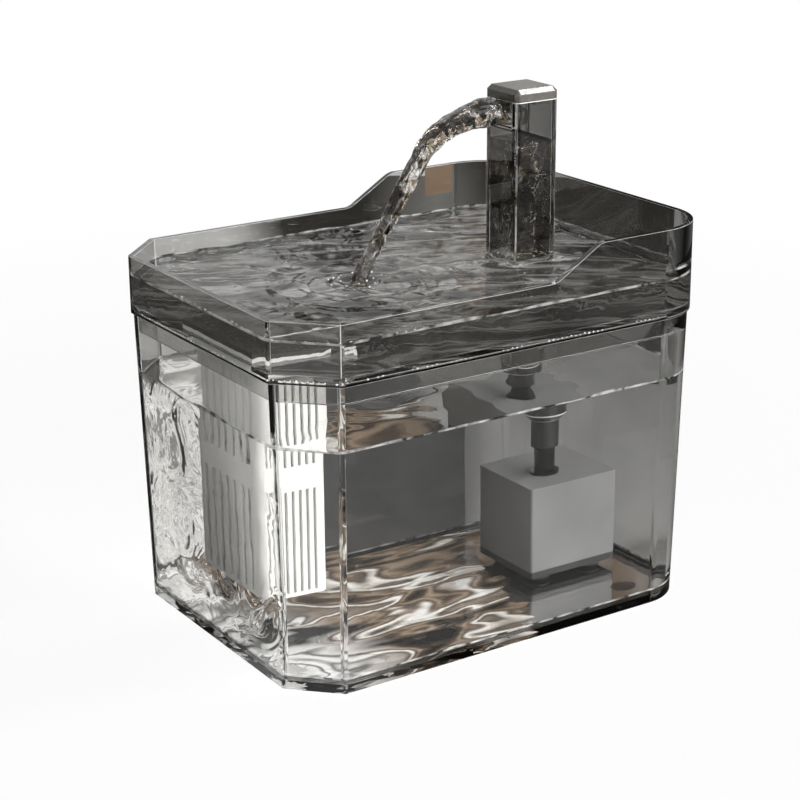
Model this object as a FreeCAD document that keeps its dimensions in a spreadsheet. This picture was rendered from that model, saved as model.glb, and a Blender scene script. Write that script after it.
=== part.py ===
import FreeCAD, Part
import os
import re
import Sketcher
from FreeCAD import Vector

# Pet water fountain: a clear tank, a drinking tray that sits on it, a square spout column,
# a slotted filter cage that hangs from the tray, and a cube pump on the tank floor.
# X runs along the body with the low drinking end at -X, Y across it, Z up, origin under
# the middle of the body on the surface it stands on. Every size is in millimetres.

doc = FreeCAD.newDocument("pet_fountain")
sheet = doc.addObject("Spreadsheet::Sheet", "sizes")

# Driving dimensions: name, size, what it is
SIZES = [
    ("body_length", 200, "length of the tray, the longest part"),
    ("body_width", 152, "width of the tray"),
    ("corner_cut", 20, "leg of the two cut corners at the drinking end"),
    ("corner_round", 27, "radius of the two rear corners"),
    ("edge_soften", 2.5, "radius on the upright edges of the cut corners"),
    ("foot_height", 1, "how far the soft feet hold the tank up"),
    ("foot_radius", 6, "radius of a soft foot"),
    ("foot_inset", 28, "from the side of the body to a foot's centre"),
    ("tank_height", 125.5, "tank from its underside to its rim"),
    ("tank_wall", 3, "wall and floor of the tank"),
    ("tank_draft", 3, "how much narrower the tank is at its foot, each side"),
    ("tank_overhang", 1, "how far the tray stands out past the tank rim"),
    ("plate_thick", 3.5, "floor plate of the tray"),
    ("tray_wall", 2.5, "splash wall of the tray"),
    ("low_wall", 20.5, "splash wall above the floor plate at the drinking end"),
    ("wall_rise", 13, "how much higher the wall is at the rear"),
    ("rise_start", 17.5, "where the wall starts to climb, from the middle"),
    ("rise_run", 21.5, "length over which the wall climbs"),
    ("rise_round", 9, "radius of the bends of the climb"),
    ("lip_depth", 8, "locating lip under the tray"),
    ("lip_wall", 2.5, "thickness of the locating lip"),
    ("lip_gap", 0.5, "play between the lip and the tank wall"),
    ("column_place", 56, "spout column from the middle of the body"),
    ("column_width", 22, "side of the square spout column"),
    ("column_height", 77, "column from the tray floor to its cap"),
    ("column_wall", 2.5, "wall of the column"),
    ("column_round", 2.5, "radius of the column's upright edges"),
    ("column_floor", 3, "floor inside the column"),
    ("cap_height", 5, "cap on the column"),
    ("cap_bevel", 1.8, "bevel round the cap's top"),
    ("cap_plug", 2, "rib that keys the cap in the column"),
    ("outlet_width", 16, "width of the outlet window"),
    ("outlet_height", 11, "height of the outlet window"),
    ("ramp_fall", 6.5, "how far the ramp inside the outlet falls to the rear"),
    ("ramp_thick", 1.5, "thickness of the ramp"),
    ("ramp_hole", 3.5, "radius of the hole in the ramp"),
    ("stem_radius", 10, "round stem below the column"),
    ("stem_bore", 4.5, "radius of the water way in the stem"),
    ("stem_nose", 3, "bevel of the stem's lower end"),
    ("seal_thick", 1.7, "thickness of the ring seal round the stem"),
    ("seal_play", 0.05, "play between the seal and the tray"),
    ("collar_height", 2, "raised square collar round the column's foot"),
    ("collar_wall", 1.6, "thickness of that collar"),
    ("collar_gap", 0.3, "play between collar and column"),
    ("cage_length", 30, "filter cage along the body"),
    ("cage_width", 50, "filter cage across the body"),
    ("cage_depth", 98, "filter cage below the tray floor"),
    ("cage_inset", 23.5, "from the end of the body to the cage's centre"),
    ("cage_side", -13, "centre of the cage across the body"),
    ("cage_wall", 1.6, "wall of the cage"),
    ("cage_round", 5, "radius of the cage's upright edges"),
    ("cage_play", 0.4, "play between the cage and the opening in the tray"),
    ("rim_width", 2.5, "flange by which the cage hangs"),
    ("rim_thick", 1.6, "thickness of that flange"),
    ("band_top", 44, "top of the solid band, from the tray floor down"),
    ("band_height", 10, "height of the solid band"),
    ("slot_head", 8, "solid top of the cage above the slots"),
    ("slot_share", 0.4, "share of the slot pitch that is open"),
    ("lid_thick", 2, "slotted lid on the cage"),
    ("lid_slot", 2.6, "width of a slot in the lid"),
    ("media_play", 0.5, "play round the filter media"),
    ("pouch_height", 50, "carbon pouch at the foot of the cage"),
    ("foam_height", 34, "foam block on the pouch"),
    ("pump_side", 45, "pump along the body"),
    ("pump_width", 50, "pump across the body"),
    ("pump_height", 41, "pump from its base plate to its top"),
    ("pump_place", 60.7, "centre of the pump along the body"),
    ("pump_across", 5, "centre of the pump across the body"),
    ("pump_wall", 2, "wall of the pump casing"),
    ("pump_edge", 1.2, "radius of the pump's upright edges"),
    ("sucker_height", 2.5, "suction feet under the pump"),
    ("sucker_radius", 5.5, "radius of a suction foot"),
    ("sucker_inset", 9, "from the pump's side to a suction foot"),
    ("base_thick", 3, "base plate of the pump"),
    ("shaft_ahead", 2.8, "rotor axis beyond the middle of the pump, along"),
    ("shaft_across", 10, "rotor axis beyond the middle of the pump, across"),
    ("volute_height", 7, "impeller chamber above the base plate"),
    ("volute_radius", 11, "inside of the impeller chamber"),
    ("volute_wall", 1.6, "wall of the impeller chamber"),
    ("inlet_ring", 6, "radius of the ring of inlet holes"),
    ("inlet_hole", 2.6, "side of a square inlet hole"),
    ("can_plate", 1.5, "plate that closes the motor room"),
    ("can_radius", 9, "outside of the rotor can"),
    ("can_wall", 1, "wall of the rotor can"),
    ("can_height", 14, "rotor can above its plate"),
    ("magnet_radius", 7.2, "rotor magnet"),
    ("magnet_height", 9.6, "length of the rotor magnet"),
    ("sleeve_radius", 2.4, "sleeve of the impeller inside the magnet"),
    ("shaft_radius", 1.15, "ceramic shaft"),
    ("shaft_play", 0.05, "running play on the shaft"),
    ("bush_radius", 3, "rubber bush at each end of the shaft"),
    ("bush_height", 2.4, "length of a bush"),
    ("impeller_radius", 9.5, "impeller"),
    ("blade_thick", 1, "impeller blade and disc"),
    ("blade_height", 4, "height of an impeller blade"),
    ("riser_radius", 6.3, "outside of the riser inside the pump"),
    ("riser_bore", 3.2, "water way in the pump and the outlet tube"),
    ("tube_radius", 4.8, "outlet tube on the pump"),
    ("tube_above", 19.5, "outlet tube above the pump"),
    ("tube_depth", 8, "outlet tube inside the riser"),
    ("tube_collar", 6.8, "radius of the outlet tube's collar"),
    ("collar_thick", 1.2, "thickness of the outlet tube's collar"),
    ("hose_wall", 1.5, "wall of the soft coupler"),
    ("hose_low", 12.5, "soft coupler's lower end above the pump"),
    ("hose_seen", 12, "soft coupler below the stem"),
    ("hose_plug", 8, "soft coupler inside the stem"),
    ("core_depth", 12, "thickness of the iron core across its sheets"),
    ("core_leg", 5.5, "width of a leg of the core"),
    ("core_yoke", 3.8, "height of the yoke of the core"),
    ("core_gap", 0.3, "play between the core and the rotor can"),
    ("core_below", 12, "length of the core's legs below the yoke"),
    ("bobbin_wall", 0.6, "wall of the coil bobbin"),
    ("bobbin_flange", 1, "end flange of the coil bobbin"),
    ("coil_length", 11, "coil along the yoke"),
    ("coil_thick", 1.7, "thickness of the winding"),
    ("gland_radius", 4.5, "cable gland flange"),
    ("gland_neck", 3, "cable gland neck"),
    ("gland_bore", 1.8, "hole for the cable"),
    ("gland_length", 5, "cable gland outside the pump"),
    ("gland_height", 22, "cable gland above the pump's underside"),
]

for row, (name, size, what) in enumerate(SIZES, start=1):
    sheet.set("A%d" % row, name)
    sheet.set("B%d" % row, str(size))
    sheet.setAlias("B%d" % row, name)
    sheet.set("C%d" % row, what)
doc.recompute()

NAMES = {name for name, size, what in SIZES}
SLOTS_ALONG = 6
SLOTS_ACROSS = 7
LID_SLOTS = 9
BLADES = 6
INLETS = 8


def of(text):
    """An expression on the sheet: every size name in the text gets the sheet's name."""
    def full(match):
        return "sizes." + match[0] if match[0] in NAMES else match[0]
    return re.sub("[a-z_]+", full, text)


def value(text):
    """The number that an expression on the sheet stands for now."""
    return float(sheet.evalExpression(of(text)))


# Levels above the table
TANK_FLOOR = "(foot_height + tank_wall)"
PLATE_LOW = "(foot_height + tank_height)"
PLATE_TOP = "(%s + plate_thick)" % PLATE_LOW
LOW_RIM = "(%s + low_wall)" % PLATE_TOP
HIGH_RIM = "(%s + wall_rise)" % LOW_RIM
CAP_LOW = "(%s + column_height)" % PLATE_TOP
PUMP_LOW = "(%s + sucker_height)" % TANK_FLOOR
BASE_TOP = "(%s + base_thick)" % PUMP_LOW
PUMP_TOP = "(%s + pump_height)" % PUMP_LOW
VOLUTE_TOP = "(%s + volute_height)" % BASE_TOP
PLATE_OVER = "(%s + can_plate)" % VOLUTE_TOP
CAN_TOP = "(%s + can_height)" % PLATE_OVER
STEM_END = "(%s + hose_low + hose_seen)" % PUMP_TOP
CAGE_LOW = "(%s - cage_depth)" % PLATE_TOP

# Places in plan
AXIS_X = "(pump_place + shaft_ahead)"
CAGE_X = "(cage_inset - body_length / 2)"
AXIS_Y = "(pump_across + shaft_across)"
PLAY_LIP = "(tank_overhang + tank_wall + lip_gap)"


def new_body(name):
    """An empty body whose label names its file."""
    body = doc.addObject("PartDesign::Body", name)
    body.Label = name
    return body


def new_sketch(body, plane, level, tag):
    """A sketch on one of the body's own planes, lifted to a level."""
    sketch = body.newObject("Sketcher::SketchObject", "%s_%s" % (body.Name, tag))
    features = body.Origin.OriginFeatures
    sketch.AttachmentSupport = [([f for f in features if f.Role == plane][0], "")]
    sketch.MapMode = "FlatFace"
    sketch.setExpression("AttachmentOffset.Base.z", of(level))
    return sketch


def place_point(sketch, geometry, point, across, up):
    """Hold one point of a sketch at two sheet expressions."""
    first = sketch.addConstraint(
        Sketcher.Constraint("DistanceX", -1, 1, geometry, point, value(across)))
    sketch.setExpression("Constraints[%d]" % first, of(across))
    second = sketch.addConstraint(
        Sketcher.Constraint("DistanceY", -1, 1, geometry, point, value(up)))
    sketch.setExpression("Constraints[%d]" % second, of(up))


def add_circle(sketch, across, up, radius):
    """A circle held by its centre and radius."""
    centre = Vector(value(across), value(up), 0)
    circle = sketch.addGeometry(Part.Circle(centre, Vector(0, 0, 1), value(radius)), False)
    place_point(sketch, circle, 3, across, up)
    size = sketch.addConstraint(Sketcher.Constraint("Radius", circle, value(radius)))
    sketch.setExpression("Constraints[%d]" % size, of(radius))


def add_polygon(sketch, points):
    """A closed run of straight lines held by its corners."""
    spots = [Vector(value(across), value(up), 0) for across, up in points]
    lines = []
    for number, spot in enumerate(spots):
        follower = spots[(number + 1) % len(spots)]
        lines.append(sketch.addGeometry(Part.LineSegment(spot, follower), False))
    for number, line in enumerate(lines):
        follower = lines[(number + 1) % len(lines)]
        sketch.addConstraint(Sketcher.Constraint("Coincident", line, 2, follower, 1))
        place_point(sketch, line, 1, points[number][0], points[number][1])


def add_box(sketch, middle_x, middle_y, length, width):
    """A rectangle held by its middle and its two sides."""
    left = "%s - (%s) / 2" % (middle_x, length)
    right = "%s + (%s) / 2" % (middle_x, length)
    low = "%s - (%s) / 2" % (middle_y, width)
    high = "%s + (%s) / 2" % (middle_y, width)
    add_polygon(sketch, [(left, low), (right, low), (right, high), (left, high)])


def cut_corners(inset):
    """Ends of the two cut corners of the body's outline, drawn in by an inset."""
    reach = "(body_length / 2 - %s)" % inset
    half = "(body_width / 2 - %s)" % inset
    leg = "(corner_cut - 0.586 * %s)" % inset
    return reach, half, leg


def add_outline(sketch, inset):
    """The body's outline drawn in by an inset: two cut corners and two round ones."""
    reach, half, leg = cut_corners(inset)
    bend = "(corner_round - %s)" % inset
    centre_x = "(%s - %s)" % (reach, bend)
    centre_y = "(%s - %s)" % (half, bend)
    corners = [
        (centre_x, half),
        ("- %s + %s" % (reach, leg), half),
        ("- " + reach, "%s - %s" % (half, leg)),
        ("- " + reach, "- %s + %s" % (half, leg)),
        ("- %s + %s" % (reach, leg), "- " + half),
        (centre_x, "- " + half),
    ]
    spots = [Vector(value(across), value(up), 0) for across, up in corners]
    lines = []
    for start, end in zip(spots, spots[1:]):
        lines.append(sketch.addGeometry(Part.LineSegment(start, end), False))
    for number in range(1, len(lines)):
        sketch.addConstraint(
            Sketcher.Constraint("Coincident", lines[number - 1], 2, lines[number], 1))
        place_point(sketch, lines[number], 1, corners[number][0], corners[number][1])
    side = Part.LineSegment(Vector(value(reach), -value(centre_y), 0),
                            Vector(value(reach), value(centre_y), 0))
    rear = sketch.addGeometry(side, False)
    near_arc = add_corner_arc(sketch, centre_x, "- " + centre_y, bend, 1.5)
    far_arc = add_corner_arc(sketch, centre_x, centre_y, bend, 0)
    sketch.addConstraint(Sketcher.Constraint("Coincident", lines[-1], 2, near_arc, 1))
    sketch.addConstraint(Sketcher.Constraint("Coincident", near_arc, 2, rear, 1))
    sketch.addConstraint(Sketcher.Constraint("Coincident", rear, 2, far_arc, 1))
    sketch.addConstraint(Sketcher.Constraint("Coincident", far_arc, 2, lines[0], 1))


def add_corner_arc(sketch, across, up, radius, start):
    """A quarter arc held by its centre, its radius and its two ends; start in half turns."""
    pi = 3.141592653589793
    circle = Part.Circle(Vector(value(across), value(up), 0), Vector(0, 0, 1), value(radius))
    arc = sketch.addGeometry(Part.ArcOfCircle(circle, start * pi, (start + 0.5) * pi), False)
    place_point(sketch, arc, 3, across, up)
    size = sketch.addConstraint(Sketcher.Constraint("Radius", arc, value(radius)))
    sketch.setExpression("Constraints[%d]" % size, of(radius))
    upright, level = (1, 2) if start == 1.5 else (2, 1)
    sketch.addConstraint(Sketcher.Constraint("Vertical", arc, upright, arc, 3))
    sketch.addConstraint(Sketcher.Constraint("Horizontal", arc, level, arc, 3))
    return arc


def add_feature(kind, body, sketch, length, tag, down, both):
    """A pad or pocket of a sketch."""
    feature = body.newObject("PartDesign::" + kind, "%s_%s" % (body.Name, tag))
    feature.Profile = sketch
    feature.setExpression("Length", of(length))
    feature.Reversed = down
    feature.Midplane = both
    doc.recompute()
    return feature


def pad(body, sketch, length, tag, down=False, both=False):
    """Adds the sketch's area over a length."""
    before = body.Shape.Volume if body.Tip else 0
    feature = add_feature("Pad", body, sketch, length, tag, down, both)
    if feature.Shape.isNull() or feature.Shape.Volume <= before:
        raise RuntimeError("pad %s adds nothing" % feature.Name)
    return feature


def pocket(body, sketch, length, tag, down=True, both=False):
    """Cuts the sketch's area over a length, downwards unless told."""
    before = body.Shape.Volume
    feature = add_feature("Pocket", body, sketch, length, tag, not down, both)
    if feature.Shape.isNull() or feature.Shape.Volume >= before:
        raise RuntimeError("pocket %s cuts nothing" % feature.Name)
    return feature


def dress_edges(kind, measure, body, size, tag, wanted):
    """Rounds or bevels the edges of the body for which wanted is true."""
    base = body.Tip
    edges = ["Edge%d" % number for number, edge in enumerate(base.Shape.Edges, start=1)
             if wanted(edge)]
    feature = body.newObject("PartDesign::" + kind, "%s_%s" % (body.Name, tag))
    feature.Base = (base, edges)
    feature.setExpression(measure, of(size))
    doc.recompute()
    return feature


def soften(body, radius, tag, wanted):
    """Rounds edges of the body."""
    return dress_edges("Fillet", "Radius", body, radius, tag, wanted)


def bevel(body, size, tag, wanted):
    """Bevels edges of the body, equally far on both faces."""
    return dress_edges("Chamfer", "Size", body, size, tag, wanted)


def slope(body, tag, outside, wanted):
    """Leans the wanted faces about the tank's rim, so that it narrows to its foot."""
    base = body.Tip
    faces = ["Face%d" % number for number, face in enumerate(base.Shape.Faces, start=1)
             if wanted(face)]
    still = body.newObject("PartDesign::Plane", "%s_%s_level" % (body.Name, tag))
    features = body.Origin.OriginFeatures
    still.AttachmentSupport = [([f for f in features if f.Role == "XY_Plane"][0], "")]
    still.MapMode = "FlatFace"
    still.setExpression("AttachmentOffset.Base.z", of(PLATE_LOW))
    doc.recompute()
    feature = body.newObject("PartDesign::Draft", "%s_%s" % (body.Name, tag))
    feature.Base = (base, faces)
    feature.NeutralPlane = (still, [""])
    feature.Reversed = outside
    feature.setExpression("Angle", of("atan(tank_draft / tank_height)"))
    doc.recompute()
    return feature


def is_upright(edge):
    """True for an edge that runs straight up, or nearly."""
    return edge.BoundBox.ZLength > 0.9 * edge.Length


def is_at(edge, spots, reach):
    """True when the middle of the edge is near one of the places in plan."""
    middle = edge.CenterOfMass
    return any(abs(middle.x - x) < reach and abs(middle.y - y) < reach for x, y in spots)


def cut_corner_spots(inset):
    """The four places in plan where the cut corners meet the sides."""
    reach, half, leg = (value(text) for text in cut_corners(inset))
    spots = []
    for side in (-1, 1):
        spots.append((-reach, side * (half - leg)))
        spots.append((leg - reach, side * half))
    return spots


def make_tank():
    """Clear tank, slightly narrower at its foot, open at the top."""
    body = new_body("tank")
    floor = value(TANK_FLOOR)
    sketch = new_sketch(body, "XY_Plane", "foot_height", "foot")
    add_outline(sketch, "tank_overhang")
    pad(body, sketch, "tank_height", "block")
    slope(body, "outer_slope", True, lambda face: face.BoundBox.ZLength > 1)
    hollow = new_sketch(body, "XY_Plane", TANK_FLOOR, "hollow")
    add_outline(hollow, "(tank_overhang + tank_wall)")
    pocket(body, hollow, "tank_height", "room", down=False)
    slope(body, "inner_slope", False,
          lambda face: abs(face.BoundBox.ZMin - floor) < 0.01 and face.BoundBox.ZLength > 1)
    for tag, inset in (("edges", "tank_overhang"), ("inner_edges", "tank_overhang + tank_wall")):
        spots = cut_corner_spots("(%s + tank_draft / 2)" % inset)
        soften(body, "edge_soften", tag,
               lambda edge: is_upright(edge) and is_at(edge, spots, 1.5))
    return body


def make_tank_feet():
    """Four soft feet under the tank."""
    body = new_body("tank_feet")
    sketch = new_sketch(body, "XY_Plane", "0", "discs")
    for ahead in ("-", ""):
        for side in ("-", ""):
            add_circle(sketch, "%s (body_length / 2 - foot_inset)" % ahead,
                       "%s (body_width / 2 - foot_inset)" % side, "foot_radius")
    pad(body, sketch, "foot_height", "pads")
    return body


def make_tray():
    """Drinking tray: floor plate, splash wall that climbs to the rear, lip underneath."""
    body = new_body("tray")
    sketch = new_sketch(body, "XY_Plane", PLATE_LOW, "outline")
    add_outline(sketch, "0")
    pad(body, sketch, "plate_thick + low_wall + wall_rise", "block")
    spots = cut_corner_spots("0")
    soften(body, "edge_soften", "edges", lambda edge: is_upright(edge) and is_at(edge, spots, 1))
    basin = new_sketch(body, "XY_Plane", HIGH_RIM, "basin")
    add_outline(basin, "tray_wall")
    pocket(body, basin, "low_wall + wall_rise", "hollow")
    climb = new_sketch(body, "XZ_Plane", "0", "climb")
    ahead = "- body_length / 2 - body_width"
    above = "%s + wall_rise" % HIGH_RIM
    rise_end = "rise_start + rise_run"
    add_polygon(climb, [(ahead, LOW_RIM), ("rise_start", LOW_RIM), (rise_end, HIGH_RIM),
                        (rise_end, above), (ahead, above)])
    pocket(body, climb, "body_width * 2", "wall_line", both=True)
    bends = [(value("rise_start"), value(LOW_RIM)), (value(rise_end), value(HIGH_RIM))]

    def is_bend(edge):
        middle = edge.CenterOfMass
        if edge.BoundBox.XLength > 0.01 or edge.BoundBox.ZLength > 0.01:
            return False
        return any(abs(middle.x - x) + abs(middle.z - z) < 0.1 for x, z in bends)

    soften(body, "rise_round", "bends", is_bend)
    lip = new_sketch(body, "XY_Plane", PLATE_LOW, "lip")
    add_outline(lip, PLAY_LIP)
    add_outline(lip, "(%s + lip_wall)" % PLAY_LIP)
    pad(body, lip, "lip_depth", "lip_ring", down=True)
    collar = new_sketch(body, "XY_Plane", PLATE_TOP, "collar")
    inner = "column_width + 2 * collar_gap"
    add_box(collar, "column_place", "0", inner + " + 2 * collar_wall", inner + " + 2 * collar_wall")
    add_box(collar, "column_place", "0", inner, inner)
    pad(body, collar, "collar_height", "collar_ring")
    stem_hole = new_sketch(body, "XY_Plane", PLATE_TOP, "stem_hole")
    add_circle(stem_hole, "column_place", "0", "stem_radius + seal_thick / 4 + seal_play")
    pocket(body, stem_hole, "plate_thick", "stem_way")
    cage_hole = new_sketch(body, "XY_Plane", PLATE_TOP, "cage_hole")
    add_box(cage_hole, CAGE_X, "cage_side", "cage_length + 2 * cage_play",
            "cage_width + 2 * cage_play")
    pocket(body, cage_hole, "plate_thick", "cage_way")
    return body


def make_spout_column():
    """Square clear column with a round stem that reaches down into the tank."""
    body = new_body("spout_column")
    square = new_sketch(body, "XY_Plane", PLATE_TOP, "square")
    add_box(square, "column_place", "0", "column_width", "column_width")
    pad(body, square, "column_height", "post")
    soften(body, "column_round", "edges", is_upright)
    stem = new_sketch(body, "XY_Plane", PLATE_TOP, "stem")
    add_circle(stem, "column_place", "0", "stem_radius")
    pad(body, stem, "%s - %s" % (PLATE_TOP, STEM_END), "stem_rod", down=True)
    end = value(STEM_END)
    bevel(body, "stem_nose", "nose", lambda edge: edge.BoundBox.ZMax < end + 0.01)
    room = new_sketch(body, "XY_Plane", CAP_LOW, "room")
    inside = "column_width - 2 * column_wall"
    add_box(room, "column_place", "0", inside, inside)
    pocket(body, room, "column_height - column_floor", "shaft_room")
    bore = new_sketch(body, "XY_Plane", "%s + column_floor" % PLATE_TOP, "bore")
    add_circle(bore, "column_place", "0", "stem_bore")
    pocket(body, bore, "%s + column_floor - %s" % (PLATE_TOP, STEM_END), "water_way")
    socket = new_sketch(body, "XY_Plane", STEM_END, "socket")
    add_circle(socket, "column_place", "0", "tube_radius + shaft_play + hose_wall")
    pocket(body, socket, "hose_plug", "hose_socket", down=False)
    groove = new_sketch(body, "XY_Plane", "%s + plate_thick / 2 - seal_thick / 2" % PLATE_LOW, "groove")
    add_circle(groove, "column_place", "0", "stem_radius + 1")
    add_circle(groove, "column_place", "0", "stem_radius - 3 * seal_thick / 4")
    pocket(body, groove, "seal_thick", "seal_groove", down=False)
    window = new_sketch(body, "YZ_Plane", "column_place - column_width / 2", "window")
    add_box(window, "0", "%s - outlet_height / 2" % CAP_LOW, "outlet_width", "outlet_height")
    pocket(body, window, "column_wall", "outlet", down=False)
    return body


def make_column_seal():
    """Ring seal in the groove of the stem, where it passes the tray floor."""
    body = new_body("column_seal")
    low = "%s + plate_thick / 2 - seal_thick / 2" % PLATE_LOW
    ring = new_sketch(body, "XY_Plane", low, "ring")
    add_circle(ring, "column_place", "0", "stem_radius + seal_thick / 4")
    add_circle(ring, "column_place", "0", "stem_radius - 3 * seal_thick / 4")
    pad(body, ring, "seal_thick", "solid")
    return body


def make_spout_ramp():
    """Sloping plate inside the column that throws the water out of the window."""
    body = new_body("spout_ramp")
    half = "(column_width / 2 - column_wall)"
    sill = "(%s - outlet_height)" % CAP_LOW
    profile = new_sketch(body, "XZ_Plane", "0", "profile")
    front = "column_place - %s" % half
    rear = "column_place + %s" % half
    add_polygon(profile, [(front, sill), (front, sill + " - ramp_thick"),
                          (rear, sill + " - ramp_fall - ramp_thick"), (rear, sill + " - ramp_fall")])
    pad(body, profile, "2 * " + half, "plate", both=True)
    way = new_sketch(body, "XY_Plane", sill, "way")
    add_circle(way, "column_place + %s - ramp_hole - 1" % half, "0", "ramp_hole")
    pocket(body, way, "ramp_fall + ramp_thick", "way_up")
    return body


def make_spout_cap():
    """Flat cap on the column with a rib that keys into it behind the outlet."""
    body = new_body("spout_cap")
    square = new_sketch(body, "XY_Plane", CAP_LOW, "square")
    add_box(square, "column_place", "0", "column_width", "column_width")
    pad(body, square, "cap_height", "top")
    soften(body, "column_round", "edges", is_upright)
    rib = new_sketch(body, "XY_Plane", CAP_LOW, "rib")
    inside = "column_width - 2 * column_wall - 2 * collar_gap"
    add_box(rib, "column_place + (%s) / 4" % inside, "0", "(%s) / 2" % inside, inside)
    pad(body, rib, "cap_plug", "key", down=True)
    crown = value(CAP_LOW + " + cap_height")
    bevel(body, "cap_bevel", "crown", lambda edge: edge.BoundBox.ZMin > crown - 0.01)
    return body


def make_hose_coupler():
    """Soft sleeve from the pump's outlet tube into the stem."""
    body = new_body("hose_coupler")
    inner = "tube_radius + shaft_play"
    ring = new_sketch(body, "XY_Plane", "%s + hose_low" % PUMP_TOP, "ring")
    add_circle(ring, "column_place", "0", inner)
    add_circle(ring, "column_place", "0", inner + " + hose_wall")
    pad(body, ring, "hose_seen + hose_plug", "sleeve")
    return body


def add_cage_slots(body, plane, middle, width, columns, tag):
    """Two rows of upright slots through both walls of the cage, with a band between."""
    pitch = "((%s - 2 * cage_round) / %d)" % (width, len(columns))
    rows = [("(%s - slot_head)" % PLATE_TOP, "(%s - band_top)" % PLATE_TOP),
            ("(%s - band_top - band_height)" % PLATE_TOP, "(%s + cage_wall)" % CAGE_LOW)]
    sketch = new_sketch(body, plane[0], plane[1], tag)
    for top, bottom in rows:
        for number in columns:
            place = "%s + %s * (%g)" % (middle, pitch, number - (len(columns) - 1) / 2)
            add_box(sketch, place, "(%s + %s) / 2" % (top, bottom), pitch + " * slot_share",
                    "%s - %s" % (top, bottom))
    pocket(body, sketch, "2 * cage_width", tag + "_cut", both=True)


def make_filter_housing():
    """Slotted cage that hangs in the tray's opening by its flange."""
    body = new_body("filter_housing")
    block = new_sketch(body, "XY_Plane", PLATE_TOP, "block")
    add_box(block, CAGE_X, "cage_side", "cage_length", "cage_width")
    pad(body, block, "cage_depth", "box", down=True)
    soften(body, "cage_round", "edges", is_upright)
    flange = new_sketch(body, "XY_Plane", PLATE_TOP, "flange")
    add_box(flange, CAGE_X, "cage_side", "cage_length + 2 * rim_width",
            "cage_width + 2 * rim_width")
    pad(body, flange, "rim_thick", "rim")
    room = new_sketch(body, "XY_Plane", "%s + rim_thick" % PLATE_TOP, "room")
    add_box(room, CAGE_X, "cage_side", "cage_length - 2 * cage_wall",
            "cage_width - 2 * cage_wall")
    pocket(body, room, "cage_depth + rim_thick - cage_wall", "inside")
    add_cage_slots(body, ("YZ_Plane", CAGE_X), "cage_side", "cage_width",
                   range(SLOTS_ACROSS), "slots_across")
    add_cage_slots(body, ("XZ_Plane", "- cage_side"), CAGE_X, "cage_length",
                   range(SLOTS_ALONG), "slots_along")
    return body


def make_filter_lid():
    """Slotted lid on the cage, through which the tray drains."""
    body = new_body("filter_lid")
    level = "%s + rim_thick" % PLATE_TOP
    block = new_sketch(body, "XY_Plane", level, "block")
    add_box(block, CAGE_X, "cage_side", "cage_length + 2 * rim_width",
            "cage_width + 2 * rim_width")
    pad(body, block, "lid_thick", "plate")
    key = new_sketch(body, "XY_Plane", level, "key")
    inner = "- 2 * cage_wall - 2 * collar_gap"
    add_box(key, CAGE_X, "cage_side", "cage_length " + inner, "cage_width " + inner)
    deeper = inner + " - 2 * cage_wall"
    add_box(key, CAGE_X, "cage_side", "cage_length " + deeper, "cage_width " + deeper)
    pad(body, key, "lid_thick", "key_ring", down=True)
    slots = new_sketch(body, "XY_Plane", level + " + lid_thick", "slots")
    pitch = "((cage_width - 4 * cage_wall) / %d)" % LID_SLOTS
    for number in range(LID_SLOTS):
        place = "cage_side + %s * (%g)" % (pitch, number - (LID_SLOTS - 1) / 2)
        add_box(slots, CAGE_X, place, "cage_length - 6 * cage_wall", "lid_slot")
    pocket(body, slots, "lid_thick", "drain")
    return body


def make_media(name, low, height):
    """A block of filter media inside the cage."""
    body = new_body(name)
    inner = "- 2 * cage_wall - 2 * media_play"
    block = new_sketch(body, "XY_Plane", low, "block")
    add_box(block, CAGE_X, "cage_side", "cage_length " + inner, "cage_width " + inner)
    pad(body, block, height, "fill")
    soften(body, "cage_round - cage_wall", "edges", is_upright)
    return body


def make_pump_body():
    """Cube casing, open below, with the riser hanging from its top."""
    body = new_body("pump_body")
    block = new_sketch(body, "XY_Plane", BASE_TOP, "block")
    add_box(block, "pump_place", "pump_across", "pump_side", "pump_width")
    pad(body, block, "pump_height - base_thick", "cube")
    soften(body, "pump_edge", "edges", is_upright)
    room = new_sketch(body, "XY_Plane", BASE_TOP, "room")
    add_box(room, "pump_place", "pump_across", "pump_side - 2 * pump_wall",
            "pump_width - 2 * pump_wall")
    add_circle(room, "column_place", "0", "riser_radius")
    pocket(body, room, "pump_height - base_thick - pump_wall", "motor_room", down=False)
    trim = new_sketch(body, "XY_Plane", BASE_TOP, "trim")
    add_circle(trim, "column_place", "0", "riser_radius + 0.01")
    pocket(body, trim, "volute_height + can_plate", "riser_end", down=False)
    way = new_sketch(body, "XY_Plane", PUMP_TOP, "way")
    add_circle(way, "column_place", "0", "riser_bore")
    pocket(body, way, "pump_height", "riser_way")
    socket = new_sketch(body, "XY_Plane", PUMP_TOP, "socket")
    add_circle(socket, "column_place", "0", "tube_radius")
    pocket(body, socket, "tube_depth", "tube_socket")
    port = new_sketch(body, "XZ_Plane", "- (pump_across + pump_width / 2)", "port")
    add_circle(port, "pump_place", "%s + gland_height" % PUMP_LOW, "gland_neck")
    pocket(body, port, "pump_wall", "cable_port", down=False)
    return body


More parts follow.
